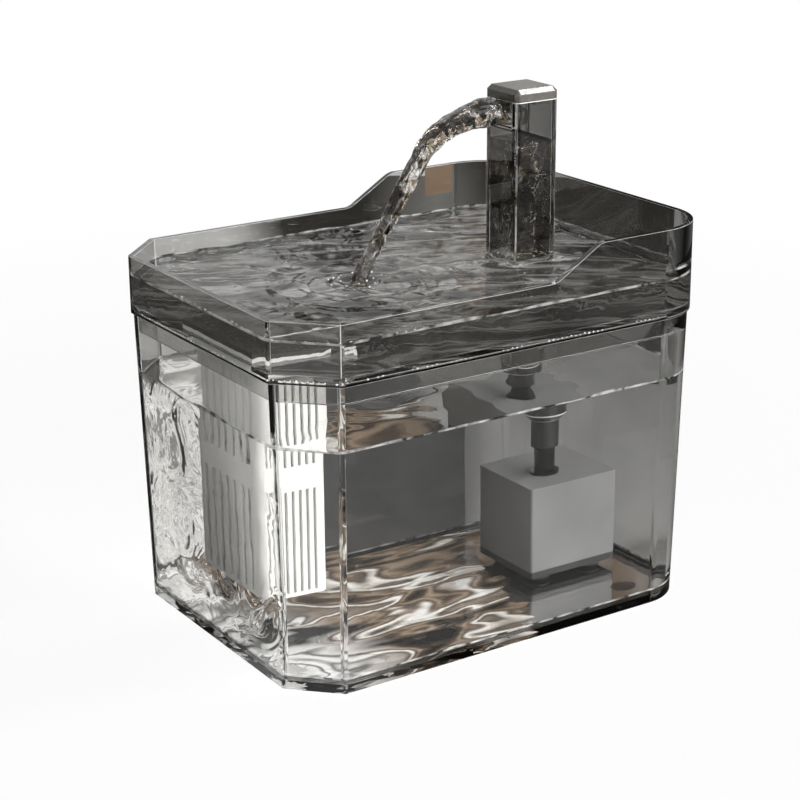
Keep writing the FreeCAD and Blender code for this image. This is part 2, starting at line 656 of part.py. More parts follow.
def make_pump_base():
    """Base plate with inlet holes and the wall of the impeller chamber."""
    body = new_body("pump_base")
    block = new_sketch(body, "XY_Plane", PUMP_LOW, "block")
    add_box(block, "pump_place", "pump_across", "pump_side", "pump_width")
    pad(body, block, "base_thick", "plate")
    soften(body, "pump_edge", "edges", is_upright)
    wall = new_sketch(body, "XY_Plane", BASE_TOP, "wall")
    add_circle(wall, AXIS_X, AXIS_Y, "volute_radius + volute_wall")
    pad(body, wall, "volute_height", "chamber")
    neck = new_sketch(body, "XY_Plane", BASE_TOP, "neck")
    add_circle(neck, "column_place", "0", "riser_radius")
    pad(body, neck, "volute_height", "riser_foot")
    hollow = new_sketch(body, "XY_Plane", VOLUTE_TOP, "hollow")
    add_circle(hollow, AXIS_X, AXIS_Y, "volute_radius")
    pocket(body, hollow, "volute_height", "chamber_room")
    up = new_sketch(body, "XY_Plane", VOLUTE_TOP, "up")
    add_circle(up, "column_place", "0", "riser_bore")
    pocket(body, up, "volute_height", "riser_room")
    throat = new_sketch(body, "XY_Plane", VOLUTE_TOP, "throat")
    add_polygon(throat, [("column_place - riser_bore", "0"), ("column_place + riser_bore", "0"),
                         ("column_place + riser_bore", AXIS_Y + " - volute_radius / 2"),
                         ("column_place - riser_bore", AXIS_Y + " - volute_radius / 2")])
    pocket(body, throat, "volute_height - blade_thick", "throat_room")
    inlets = new_sketch(body, "XY_Plane", BASE_TOP, "inlets")
    for number in range(INLETS):
        turn = number * 360 / INLETS
        add_box(inlets, "%s + inlet_ring * cos(%g deg)" % (AXIS_X, turn),
                "%s + inlet_ring * sin(%g deg)" % (AXIS_Y, turn), "inlet_hole", "inlet_hole")
    pocket(body, inlets, "base_thick", "inlet_holes")
    seat = new_sketch(body, "XY_Plane", BASE_TOP, "seat")
    add_circle(seat, AXIS_X, AXIS_Y, "bush_radius")
    pocket(body, seat, "base_thick / 2", "bush_seat")
    return body


def make_motor_can():
    """Plate that closes the motor room, with the dry can round the rotor."""
    body = new_body("motor_can")
    block = new_sketch(body, "XY_Plane", VOLUTE_TOP, "block")
    add_box(block, "pump_place", "pump_across", "pump_side - 2 * pump_wall",
            "pump_width - 2 * pump_wall")
    pad(body, block, "can_plate", "plate")
    can = new_sketch(body, "XY_Plane", VOLUTE_TOP, "can")
    add_circle(can, AXIS_X, AXIS_Y, "can_radius")
    pad(body, can, "can_plate + can_height", "can_rod")
    hollow = new_sketch(body, "XY_Plane", VOLUTE_TOP, "hollow")
    add_circle(hollow, AXIS_X, AXIS_Y, "can_radius - can_wall")
    pocket(body, hollow, "can_plate + can_height - can_wall", "rotor_room", down=False)
    way = new_sketch(body, "XY_Plane", VOLUTE_TOP, "way")
    add_circle(way, "column_place", "0", "riser_bore")
    pocket(body, way, "can_plate", "riser_hole", down=False)
    return body


def make_outlet_tube():
    """Dark tube that stands in the pump's riser, with a collar on the pump's top."""
    body = new_body("outlet_tube")
    foot = new_sketch(body, "XY_Plane", "%s - tube_depth" % PUMP_TOP, "foot")
    add_circle(foot, "column_place", "0", "tube_radius")
    pad(body, foot, "tube_depth + tube_above", "tube")
    ring = new_sketch(body, "XY_Plane", PUMP_TOP, "ring")
    add_circle(ring, "column_place", "0", "tube_collar")
    pad(body, ring, "collar_thick", "collar")
    way = new_sketch(body, "XY_Plane", "%s + tube_above" % PUMP_TOP, "way")
    add_circle(way, "column_place", "0", "riser_bore")
    pocket(body, way, "tube_depth + tube_above", "water_way")
    return body


def make_impeller():
    """Disc with straight blades below it and a sleeve that carries the magnet."""
    body = new_body("impeller")
    disc_low = "(%s - 2 * blade_thick)" % VOLUTE_TOP
    disc = new_sketch(body, "XY_Plane", disc_low, "disc")
    add_circle(disc, AXIS_X, AXIS_Y, "impeller_radius")
    pad(body, disc, "blade_thick", "plate")
    sleeve = new_sketch(body, "XY_Plane", disc_low, "sleeve")
    add_circle(sleeve, AXIS_X, AXIS_Y, "sleeve_radius")
    pad(body, sleeve, "%s + blade_thick / 2 + magnet_height - %s" % (PLATE_OVER, disc_low), "tube")
    hub = new_sketch(body, "XY_Plane", disc_low, "hub")
    add_circle(hub, AXIS_X, AXIS_Y, "sleeve_radius")
    pad(body, hub, "blade_height", "hub_rod", down=True)
    blade = new_sketch(body, "XY_Plane", disc_low, "blade")
    for number in range(BLADES // 2):
        turn = "%g deg" % (number * 360 / BLADES)
        corners = []
        for along, across in ((-1, -1), (1, -1), (1, 1), (-1, 1)):
            reach = "(%d * impeller_radius)" % along
            side = "(%d * blade_thick / 2)" % across
            corners.append((
                "%s + %s * cos(%s) - %s * sin(%s)" % (AXIS_X, reach, turn, side, turn),
                "%s + %s * sin(%s) + %s * cos(%s)" % (AXIS_Y, reach, turn, side, turn)))
        single = blade if number == 0 else new_sketch(body, "XY_Plane", disc_low, "blade%d" % number)
        add_polygon(single, corners)
        pad(body, single, "blade_height", "vane%d" % number, down=True)
    way = new_sketch(body, "XY_Plane", CAN_TOP, "way")
    add_circle(way, AXIS_X, AXIS_Y, "shaft_radius + shaft_play")
    pocket(body, way, "can_height + volute_height + can_plate", "shaft_way")
    return body


def make_ring(name, low, height, outer, inner):
    """A plain ring on the rotor's axis; an inner radius of None leaves it solid."""
    body = new_body(name)
    ring = new_sketch(body, "XY_Plane", low, "ring")
    add_circle(ring, AXIS_X, AXIS_Y, outer)
    if inner:
        add_circle(ring, AXIS_X, AXIS_Y, inner)
    pad(body, ring, height, "solid")
    return body


def core_frame():
    """Levels and reach of the iron core: yoke underside, half span outside and inside."""
    under = "(%s + 2 * core_gap + bobbin_wall + coil_thick)" % CAN_TOP
    inside = "(can_radius + core_gap)"
    return under, "(%s + core_leg)" % inside, inside


def make_stator_core():
    """Laminated iron core: a yoke over the can and a leg on each side of it."""
    body = new_body("stator_core")
    under, outside, inside = core_frame()
    low = under + " - core_below"
    top = under + " + core_yoke"
    profile = new_sketch(body, "XZ_Plane", "- " + AXIS_Y, "profile")
    add_polygon(profile, [
        ("%s - %s" % (AXIS_X, outside), low), ("%s - %s" % (AXIS_X, inside), low),
        ("%s - %s" % (AXIS_X, inside), under), ("%s + %s" % (AXIS_X, inside), under),
        ("%s + %s" % (AXIS_X, inside), low), ("%s + %s" % (AXIS_X, outside), low),
        ("%s + %s" % (AXIS_X, outside), top), ("%s - %s" % (AXIS_X, outside), top)])
    pad(body, profile, "core_depth", "sheets", both=True)
    return body


def add_sleeve(body, reach, inner, outer, middle, tag):
    """A square sleeve round the yoke, from inner to outer thickness, over a length."""
    under = core_frame()[0]
    centre = "(%s + core_yoke / 2)" % under
    sketch = new_sketch(body, "YZ_Plane", middle, tag)
    add_box(sketch, AXIS_Y, centre, "core_depth + 2 * " + outer, "core_yoke + 2 * " + outer)
    add_box(sketch, AXIS_Y, centre, "core_depth + 2 * " + inner, "core_yoke + 2 * " + inner)
    pad(body, sketch, reach, tag + "_ring", both=True)


def make_coil_bobbin():
    """Plastic bobbin on the yoke: a sleeve and a flange at each end."""
    body = new_body("coil_bobbin")
    add_sleeve(body, "coil_length + 2 * bobbin_flange", "0", "bobbin_wall", AXIS_X, "sleeve")
    shift = "(coil_length / 2 + bobbin_flange / 2)"
    rim = "(bobbin_wall + coil_thick)"
    add_sleeve(body, "bobbin_flange", "0", rim, "%s - %s" % (AXIS_X, shift), "near_flange")
    add_sleeve(body, "bobbin_flange", "0", rim, "%s + %s" % (AXIS_X, shift), "far_flange")
    return body


def make_stator_coil():
    """Copper winding on the bobbin."""
    body = new_body("stator_coil")
    outer = "(bobbin_wall + coil_thick * 0.95)"
    add_sleeve(body, "coil_length", "bobbin_wall", outer, AXIS_X, "winding")
    return body


def make_cable_gland():
    """Gland on the pump's hidden side, where the cable would leave it."""
    body = new_body("cable_gland")
    face = "- (pump_across + pump_width / 2)"
    height = "%s + gland_height" % PUMP_LOW
    flange = new_sketch(body, "XZ_Plane", face, "flange")
    add_circle(flange, "pump_place", height, "gland_radius")
    pad(body, flange, "gland_length / 3", "flange_disc", down=True)
    neck = new_sketch(body, "XZ_Plane", face, "neck")
    add_circle(neck, "pump_place", height, "gland_neck")
    pad(body, neck, "gland_length", "nose", down=True)
    inner = new_sketch(body, "XZ_Plane", face, "inner")
    add_circle(inner, "pump_place", height, "gland_neck")
    pad(body, inner, "pump_wall", "plug")
    way = new_sketch(body, "XZ_Plane", face + " - gland_length", "way")
    add_circle(way, "pump_place", height, "gland_bore")
    pocket(body, way, "gland_length + pump_wall", "cable_way", down=False)
    return body


def make_suction_feet():
    """Four suction feet between the pump and the tank floor: a cup under a neck."""
    body = new_body("suction_feet")
    ahead_shift = "(pump_side / 2 - sucker_inset)"
    side_shift = "(pump_width / 2 - sucker_inset)"
    cups = new_sketch(body, "XY_Plane", TANK_FLOOR, "cups")
    necks = new_sketch(body, "XY_Plane", "%s + sucker_height / 2" % TANK_FLOOR, "necks")
    for ahead in ("-", "+"):
        for side in ("-", "+"):
            across = "pump_place %s %s" % (ahead, ahead_shift)
            up = "pump_across %s %s" % (side, side_shift)
            add_circle(cups, across, up, "sucker_radius")
            add_box(necks, across, up, "sucker_radius", "sucker_radius")
    pad(body, cups, "sucker_height / 2", "cup_discs")
    pad(body, necks, "sucker_height / 2", "neck_posts")
    return body


pouch_low = "%s + cage_wall" % CAGE_LOW
bush_gap = "%s + blade_thick / 2" % PLATE_OVER
sub_parts = [
    make_tank(),
    make_tank_feet(),
    make_tray(),
    make_spout_column(),
    make_column_seal(),
    make_spout_ramp(),
    make_spout_cap(),
    make_hose_coupler(),
    make_filter_housing(),
    make_filter_lid(),
    make_media("filter_pouch", pouch_low, "pouch_height"),
    make_media("filter_foam", pouch_low + " + pouch_height", "foam_height"),
    make_pump_body(),
    make_pump_base(),
    make_motor_can(),
    make_outlet_tube(),
    make_impeller(),
    make_ring("rotor_magnet", bush_gap, "magnet_height", "magnet_radius", "sleeve_radius"),
    make_ring("rotor_shaft", "%s - base_thick / 2" % BASE_TOP,
              "%s - can_wall - %s + base_thick / 2" % (CAN_TOP, BASE_TOP), "shaft_radius", None),
    make_ring("upper_bush", "%s - can_wall - bush_height" % CAN_TOP, "bush_height",
              "bush_radius", "shaft_radius"),
    make_ring("lower_bush", "%s - base_thick / 2" % BASE_TOP, "base_thick / 2",
              "bush_radius", "shaft_radius"),
    make_stator_core(),
    make_coil_bobbin(),
    make_stator_coil(),
    make_cable_gland(),
    make_suction_feet(),
]
doc.recompute()

for thing in doc.Objects:
    if "Invalid" in thing.State or "Error" in thing.State:
        raise RuntimeError("%s did not recompute: %s" % (thing.Name, thing.State))
for sub_part in sub_parts:
    if sub_part.Shape.isNull() or not sub_part.Shape.isValid():
        raise RuntimeError("%s has no valid shape" % sub_part.Label)

os.makedirs("parts", exist_ok=True)
for sub_part in sub_parts:
    sub_part.Shape.exportStep("parts/%s.step" % sub_part.Label)
    print(sub_part.Label, len(sub_part.Shape.Solids), round(sub_part.Shape.Volume / 1000, 2), "ml")
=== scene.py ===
"""Pet water fountain: looks, water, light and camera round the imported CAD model. Metres."""
import math

import bmesh
import bpy
from mathutils import Matrix, Vector, noise


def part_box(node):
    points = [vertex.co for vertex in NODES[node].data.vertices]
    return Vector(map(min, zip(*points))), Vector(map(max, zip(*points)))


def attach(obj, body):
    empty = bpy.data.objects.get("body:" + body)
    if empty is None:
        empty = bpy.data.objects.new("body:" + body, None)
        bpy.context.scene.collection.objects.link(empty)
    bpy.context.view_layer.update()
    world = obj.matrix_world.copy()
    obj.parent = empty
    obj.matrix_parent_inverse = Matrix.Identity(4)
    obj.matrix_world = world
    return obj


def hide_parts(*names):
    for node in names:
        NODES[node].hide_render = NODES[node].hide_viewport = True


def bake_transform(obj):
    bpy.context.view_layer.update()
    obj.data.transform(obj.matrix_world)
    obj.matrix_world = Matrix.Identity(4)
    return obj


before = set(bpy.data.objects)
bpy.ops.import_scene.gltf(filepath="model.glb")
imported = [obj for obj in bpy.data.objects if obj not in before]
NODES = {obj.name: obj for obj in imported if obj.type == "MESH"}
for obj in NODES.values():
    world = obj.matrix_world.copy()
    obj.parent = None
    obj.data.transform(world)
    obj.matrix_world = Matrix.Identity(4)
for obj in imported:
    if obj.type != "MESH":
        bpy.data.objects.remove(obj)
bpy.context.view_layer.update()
scene = bpy.context.scene
scene.view_settings.view_transform = "Standard"


def node_box(name):
    """The low and high corner of a CAD node, to a tenth of a millimetre."""
    return [[round(part, 4) for part in corner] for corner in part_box(name)]


# Sizes of the CAD in metres: from the frame, and below them those that no box shows. The tray
# gives the outline, and the pump's feet stand on the tank's floor.
HALF_LENGTH, HALF_WIDTH = node_box("tray")[1][:2]
TANK_RIM = node_box("tank")[1][2]
TANK_FLOOR = node_box("suction_feet")[0][2]
COLUMN_FACE = node_box("spout_column")[0][0]
COLUMN_HALF = node_box("spout_column")[1][1]
COLUMN_X = round(COLUMN_FACE + COLUMN_HALF, 4)
CORNER_CUT = 0.020
CORNER_ROUND = 0.027
TRAY_FLOOR = 0.130
TRAY_WALL = 0.0025
COLUMN_WALL = 0.0025
COLUMN_FLOOR = 0.133
# How far inside that outline the tank's inner wall is at the rim, and more per metre below
TANK_INSET = 0.004
TANK_SLOPE = 0.003 / 0.1255
# How much the leg of a corner cut at 45 degrees gets shorter with an inset: 2 less the root of 2
LEG_LOSS = 0.586
CORNER_STEPS = 12

# Levels of the water, in metres, and where the stream meets the tray's
TANK_WATER = 0.100
TRAY_WATER = 0.1424
COLUMN_WATER = 0.190
LANDING = Vector((-0.030, -0.0075))
# How far water reaches into the wall that holds it
OVERLAP = 0.0003

# Bands of other material on the sides of the tank's water: up to these heights a foot of painted
# shade and a line of painted highlight, and down from the top by this much the line where the
# water meets the wall, with painted highlight and shade
FOOT_BAND = 0.0022
FOOT_LINE = 0.0030
TOP_BAND = 0.0004
# Slanting lines on the tank's floor before the pump, by their x in the middle. Past the first
# the bed is calm, and past the second it has no painted caustics.
CALM_LINE = 0.036
LIGHT_LINE = 0.030
SLANT = 0.25
# Middle of the rougher water by the filter
ROUGH_X, ROUGH_Y = -0.085, -0.02
# How far the water climbs the wall, and how far one ring of its mesh further in
CLIMB = (0.0007, 0.0002)
# Above 1, the rings of the mesh stand closer together near the wall
CROWDING = 1.15

# How strongly things bend light. The tank's water bends it less than real water, as in the
# photograph, and its +X faces not at all, so that they don't mirror the pump.
PLASTIC_IOR = 1.49
WATER_IOR = 1.333
TANK_IOR = 1.2
NO_BEND = 1.0

# Camera: place in metres, azimuth, elevation and roll in degrees, lens and sensor in mm
CAMERA_PLACE = (-0.4564, -0.6888, 0.3683)
CAMERA_ANGLES = (-33.22, 18.91, -0.41)
LENS = 93.9
SENSOR = 36

# Edges that turn more than this stay sharp in the pieces made here, or get a bevel on CAD nodes
SMOOTH_ANGLE = math.radians(40)
BEVEL_ANGLE = math.radians(30)
WELD_REACH = 0.000002

# Studio, in metres: radii of its ring cards, from the hub out, and heights of the floor and of
# the cards just above it. The small cards stand a gap behind the object or at y CARD_BACK.
STUDIO_REACH = 0.8
NEAR_REACH = 0.36
HUB = 0.01
FLOOR_LEVEL = -0.0001
CARD_LEVEL = -0.00005
CARD_GAP = 0.004
CARD_BACK = 0.30
# How brightly the white studio lights matt surfaces
MATT_LIGHT = 0.11

# The photograph's turn about Z, so that streaks in the water can lie across its view
SIGHT_COS, SIGHT_SIN = 0.837, 0.548
SIGHT_TURN = math.radians(-33.2)


def value_noise(x, y, z=0.0, size=1.0):
    """Smooth noise between -1 and 1 with features of that size."""
    return noise.noise(Vector((x / size, y / size, z / size)))


# Camera

def make_camera():
    """Camera at the photograph's place and angle."""
    azimuth, elevation, roll = (math.radians(a) for a in CAMERA_ANGLES)
    right = Vector((math.cos(azimuth), math.sin(azimuth), 0))
    back = Vector((math.sin(azimuth) * math.cos(elevation),
                   -math.cos(azimuth) * math.cos(elevation), math.sin(elevation)))
    up = back.cross(right)
    side = right * math.cos(roll) + up * math.sin(roll)
    top = up * math.cos(roll) - right * math.sin(roll)
    data = bpy.data.cameras.new("camera")
    data.lens = LENS
    data.sensor_width = SENSOR
    data.clip_start = 0.01
    data.clip_end = 20
    camera = bpy.data.objects.new("camera", data)
    scene.collection.objects.link(camera)
    turn = Matrix((side, top, back)).transposed().to_4x4()
    camera.matrix_world = Matrix.Translation(CAMERA_PLACE) @ turn
    scene.camera = camera


# Node helpers

def new_material(name):
    """A material with an empty tree but for its output and one Principled shader."""
    material = bpy.data.materials.new(name)
    material.use_nodes = True
    tree = material.node_tree
    return material, tree, tree.nodes["Principled BSDF"]


def object_place(tree):
    """Where a point is, in object space, which is the row frame."""
    return tree.nodes.new("ShaderNodeTexCoord").outputs["Object"]


def object_axis(tree, axis):
    """One of X, Y and Z of where a point is."""
    parts = tree.nodes.new("ShaderNodeSeparateXYZ")
    tree.links.new(object_place(tree), parts.inputs[0])
    return parts.outputs[axis]


def add_noise(tree, scale, detail=3.0, stretch=(1, 1, 1), distortion=0.0, kind="noise",
              turn=0.0):
    """Noise in object space; stretch scales the three axes, turned about Z."""
    mapping = tree.nodes.new("ShaderNodeMapping")
    tree.links.new(object_place(tree), mapping.inputs["Vector"])
    mapping.vector_type = "TEXTURE"
    mapping.inputs["Scale"].default_value = [1 / part for part in stretch]
    mapping.inputs["Rotation"].default_value = (0, 0, turn)
    if kind == "voronoi":
        texture = tree.nodes.new("ShaderNodeTexVoronoi")
        texture.inputs["Scale"].default_value = scale
        tree.links.new(mapping.outputs["Vector"], texture.inputs["Vector"])
        return texture.outputs["Distance"]
    texture = tree.nodes.new("ShaderNodeTexNoise")
    texture.inputs["Scale"].default_value = scale
    texture.inputs["Detail"].default_value = detail
    texture.inputs["Distortion"].default_value = distortion
    tree.links.new(mapping.outputs["Vector"], texture.inputs["Vector"])
    return texture.outputs["Fac"]


def add_ramp(tree, source, stops):
    """A colour ramp; stops are (place, colour)."""
    ramp = tree.nodes.new("ShaderNodeValToRGB")
    elements = ramp.color_ramp.elements
    while len(elements) < len(stops):
        elements.new(0.5)
    for element, (place, colour) in zip(elements, stops):
        element.position = place
        element.color = (*colour, 1)
    tree.links.new(source, ramp.inputs["Fac"])
    return ramp.outputs["Color"]


def add_bump(tree, shader, height, strength, distance, before=None):
    """Bump of the shader's normal by that height."""
    bump = tree.nodes.new("ShaderNodeBump")
    bump.inputs["Strength"].default_value = strength
    bump.inputs["Distance"].default_value = distance
    tree.links.new(height, bump.inputs["Height"])
    if before is not None:
        tree.links.new(before, bump.inputs["Normal"])
    tree.links.new(bump.outputs["Normal"], shader.inputs["Normal"])
    return bump.outputs["Normal"]


def add_span(tree, source, start, end, low=0.0, high=1.0):
    """The source, mapped from start-end to low-high."""
    span = tree.nodes.new("ShaderNodeMapRange")
    span.inputs["From Min"].default_value = start
    span.inputs["From Max"].default_value = end
    span.inputs["To Min"].default_value = low
    span.inputs["To Max"].default_value = high
    tree.links.new(source, span.inputs["Value"])
    return span.outputs["Result"]


def vary(tree, shader, socket, source, low, high):
    """Lets a number of the shader vary between low and high with the source."""
    tree.links.new(add_span(tree, source, 0.3, 0.7, low, high), shader.inputs[socket])


def shade(colour, factor):
    """The colour made lighter or darker by a factor."""
    return tuple(min(1.0, c * factor) for c in colour)


# Materials

def darker_above(tree, colour, level, factor):
    """The colour, multiplied by a factor above a level."""
    climb = add_span(tree, object_axis(tree, "Z"), level - 0.001, level + 0.001)
    mix = tree.nodes.new("ShaderNodeMix")
    mix.data_type = "RGBA"
    mix.blend_type = "MULTIPLY"
    mix.inputs["B"].default_value = (factor, factor, factor, 1)
    tree.links.new(climb, mix.inputs["Factor"])
    tree.links.new(colour, mix.inputs["A"])
    return mix.outputs["Result"]


def clear_plastic(name, colour, roughness, ior=PLASTIC_IOR, waves=0.0, crown=None):
    """Moulded clear plastic, with a slightly uneven tint and faint flow waves.

    crown is (level, factor) for a darker tint above a level."""
    material, tree, shader = new_material(name)
    cloud = add_noise(tree, 14, 2)
    tint = add_ramp(tree, cloud, [(0.35, shade(colour, 0.9)), (0.65, shade(colour, 1.08))])
    if crown:
        tint = darker_above(tree, tint, *crown)
    tree.links.new(tint, shader.inputs["Base Color"])
    shader.inputs["Transmission Weight"].default_value = 1
    shader.inputs["IOR"].default_value = ior
    haze = add_noise(tree, 90, 4)
    vary(tree, shader, "Roughness", haze, roughness * 0.4, roughness * 1.6)
    if waves:
        add_bump(tree, shader, add_noise(tree, 30, 1), waves, 0.0006)
    return material


def solid_plastic(name, colour, roughness, grain=900, depth=0.06, coat=0.0, shine=0.5):
    """Moulded opaque plastic with a fine grain and slight patches."""
    material, tree, shader = new_material(name)
    patches = add_noise(tree, 45, 3)
    tint = add_ramp(tree, patches, [(0.3, shade(colour, 0.93)), (0.7, shade(colour, 1.06))])
    tree.links.new(tint, shader.inputs["Base Color"])
    fine = add_noise(tree, grain, 4)
    vary(tree, shader, "Roughness", fine, roughness * 0.85, min(1, roughness * 1.15))
    shader.inputs["Coat Weight"].default_value = coat
    shader.inputs["Specular IOR Level"].default_value = shine
    add_bump(tree, shader, fine, depth, 0.0004)
    return material


def metal(name, colour, roughness, stretch, scale=400):
    """Bare metal with drawn or ground lines along one axis."""
    material, tree, shader = new_material(name)
    lines = add_noise(tree, scale, 3, stretch)
    tint = add_ramp(tree, lines, [(0.3, shade(colour, 0.8)), (0.7, shade(colour, 1.15))])
    tree.links.new(tint, shader.inputs["Base Color"])
    shader.inputs["Metallic"].default_value = 1
    vary(tree, shader, "Roughness", lines, roughness * 0.8, roughness * 1.3)
    add_bump(tree, shader, lines, 0.2, 0.0003)
    return material


def fibre(name, colour, scale, depth, holes=False):
    """Fleece or open sponge: tangled fibres or pores, with painted shade in their low parts."""
    material, tree, shader = new_material(name)
    if holes:
        height = add_noise(tree, scale, kind="voronoi")
    else:
        height = add_noise(tree, scale, 8, (1, 1, 0.5), 1.5)
    # Painted shade: the low parts of the bump, the pores and the gaps between fibres, are darker
    tint = add_ramp(tree, height, [(0.15, shade(colour, 0.55)), (0.55, shade(colour, 1.05))])
    tree.links.new(tint, shader.inputs["Base Color"])
    shader.inputs["Roughness"].default_value = 0.95
    shader.inputs["Sheen Weight"].default_value = 0.3
    add_bump(tree, shader, height, depth, 0.0015)
    return material


def water_material(name, ripple, swirl=0.0, tint=(0.93, 0.935, 0.93), ior=WATER_IOR,
                   painted_rope_light=None):
    """Clear water; ripple is the strength of fine waves, swirl that of broad ones.

    The stops of the rope tint mottle water that is full of folds and air; its dark stops are
    painted shade and its white ones painted highlights."""
    material, tree, shader = new_material(name)
    cloud = add_noise(tree, 130 if painted_rope_light else 20, 2, distortion=0.6)
    colour = add_ramp(tree, cloud, painted_rope_light or [(0.3, shade(tint, 0.97)), (0.7, shade(tint, 1.03))])
    tree.links.new(colour, shader.inputs["Base Color"])
    shader.inputs["Transmission Weight"].default_value = 1
    shader.inputs["IOR"].default_value = ior
    shader.inputs["Roughness"].default_value = 0.0
    fine = add_bump(tree, shader, add_noise(tree, 95, 2, distortion=1.2), ripple, 0.0012)
    if swirl:
        add_bump(tree, shader, add_noise(tree, 38, 1.5, distortion=2.0), swirl, 0.006, fine)
    return material


def painted_glint_edge(name, scale, low, through, ior):
    """Thin edges of clear plastic or water, with highlights painted in places as a mottle from low
    to white.
    """
    material, tree, shader = new_material(name)
    fine = add_noise(tree, scale, 3)
    tint = add_ramp(tree, fine, [(0.38, (low, low, low)), (0.6, (1, 1, 0.99))])
    tree.links.new(tint, shader.inputs["Base Color"])
    shader.inputs["Transmission Weight"].default_value = through
    shader.inputs["IOR"].default_value = ior
    shader.inputs["Roughness"].default_value = 0.2
    return material


def painted_caustics_material():
    """Water against the tank's floor, where thrown light is painted as white and brown lines, with
    painted shade in dark ones; the painted lines also glow.
    """
    material, tree, shader = new_material("water_floor_painted_caustics")
    cloud = add_noise(tree, 32, 1, (0.62, 1.4, 1), 0.9)
    brown = add_ramp(tree, cloud, [(0.34, (0.01, 0.008, 0.006)), (0.41, (0.09, 0.065, 0.045)),
                                   (0.45, (0.36, 0.27, 0.19)), (0.49, (0.10, 0.075, 0.055)),
                                   (0.51, (0.30, 0.24, 0.19)), (0.535, (1, 1, 0.98)),
                                   (0.56, (0.80, 0.76, 0.70)), (0.59, (0.12, 0.10, 0.08)),
                                   (0.66, (0.28, 0.22, 0.17))])
    grey = add_ramp(tree, cloud, [(0.34, (0.03, 0.03, 0.03)), (0.40, (0.80, 0.80, 0.79)),
                                  (0.45, (0.95, 0.95, 0.94)), (0.485, (0.10, 0.10, 0.10)),
                                  (0.51, (1, 1, 1)), (0.56, (0.9, 0.9, 0.9)),
                                  (0.60, (0.18, 0.18, 0.175)), (0.66, (0.95, 0.95, 0.94))])
    side = add_span(tree, object_axis(tree, "X"), -0.07, -0.04)
    mix = tree.nodes.new("ShaderNodeMix")
    mix.data_type = "RGBA"
    tree.links.new(side, mix.inputs["Factor"])
    tree.links.new(grey, mix.inputs["A"])
    tree.links.new(brown, mix.inputs["B"])
    tree.links.new(mix.outputs["Result"], shader.inputs["Base Color"])
    # The painted lines of light and shade also glow, though the water is no lamp
    tree.links.new(mix.outputs["Result"], shader.inputs["Emission Color"])
    shader.inputs["Emission Strength"].default_value = 0.28
    shader.inputs["Transmission Weight"].default_value = 0.2
    shader.inputs["IOR"].default_value = TANK_IOR
    shader.inputs["Roughness"].default_value = 0.01
    add_bump(tree, shader, add_noise(tree, 110, 2, (0.7, 1.6, 1), 1.5), 0.4, 0.002)
    return material


def painted_streaks_material():
    """Water against the tray's floor, where what is below shows as broad level streaks of painted
    reflection and refraction.
    """
    material, tree, shader = new_material("water_bed_painted_streaks")
    cloud = add_noise(tree, 24, 1.5, (0.45, 1.6, 1), 0.7, turn=SIGHT_TURN)
    tint = add_ramp(tree, cloud, [(0.36, (0.02, 0.017, 0.014)), (0.43, (0.22, 0.21, 0.20)),
                                  (0.47, (0.9, 0.9, 0.89)), (0.50, (0.08, 0.072, 0.065)),
                                  (0.54, (0.30, 0.29, 0.28)), (0.57, (1, 1, 1)),
                                  (0.63, (0.12, 0.11, 0.10))])
    tree.links.new(tint, shader.inputs["Base Color"])
    shader.inputs["Transmission Weight"].default_value = 0.65
    shader.inputs["IOR"].default_value = WATER_IOR
    shader.inputs["Roughness"].default_value = 0.02
    return material


# Tints of still water, and of water that is full of folds and air, with painted shade and
# highlights
STILL = (0.97, 0.97, 0.965)
ROPES_PAINTED_LIGHT = [(0.36, (0.02, 0.015, 0.01)), (0.45, (0.27, 0.20, 0.13)), (0.50, (0.97, 0.96, 0.93)),
         (0.55, (0.20, 0.17, 0.135)), (0.61, (1, 1, 1))]

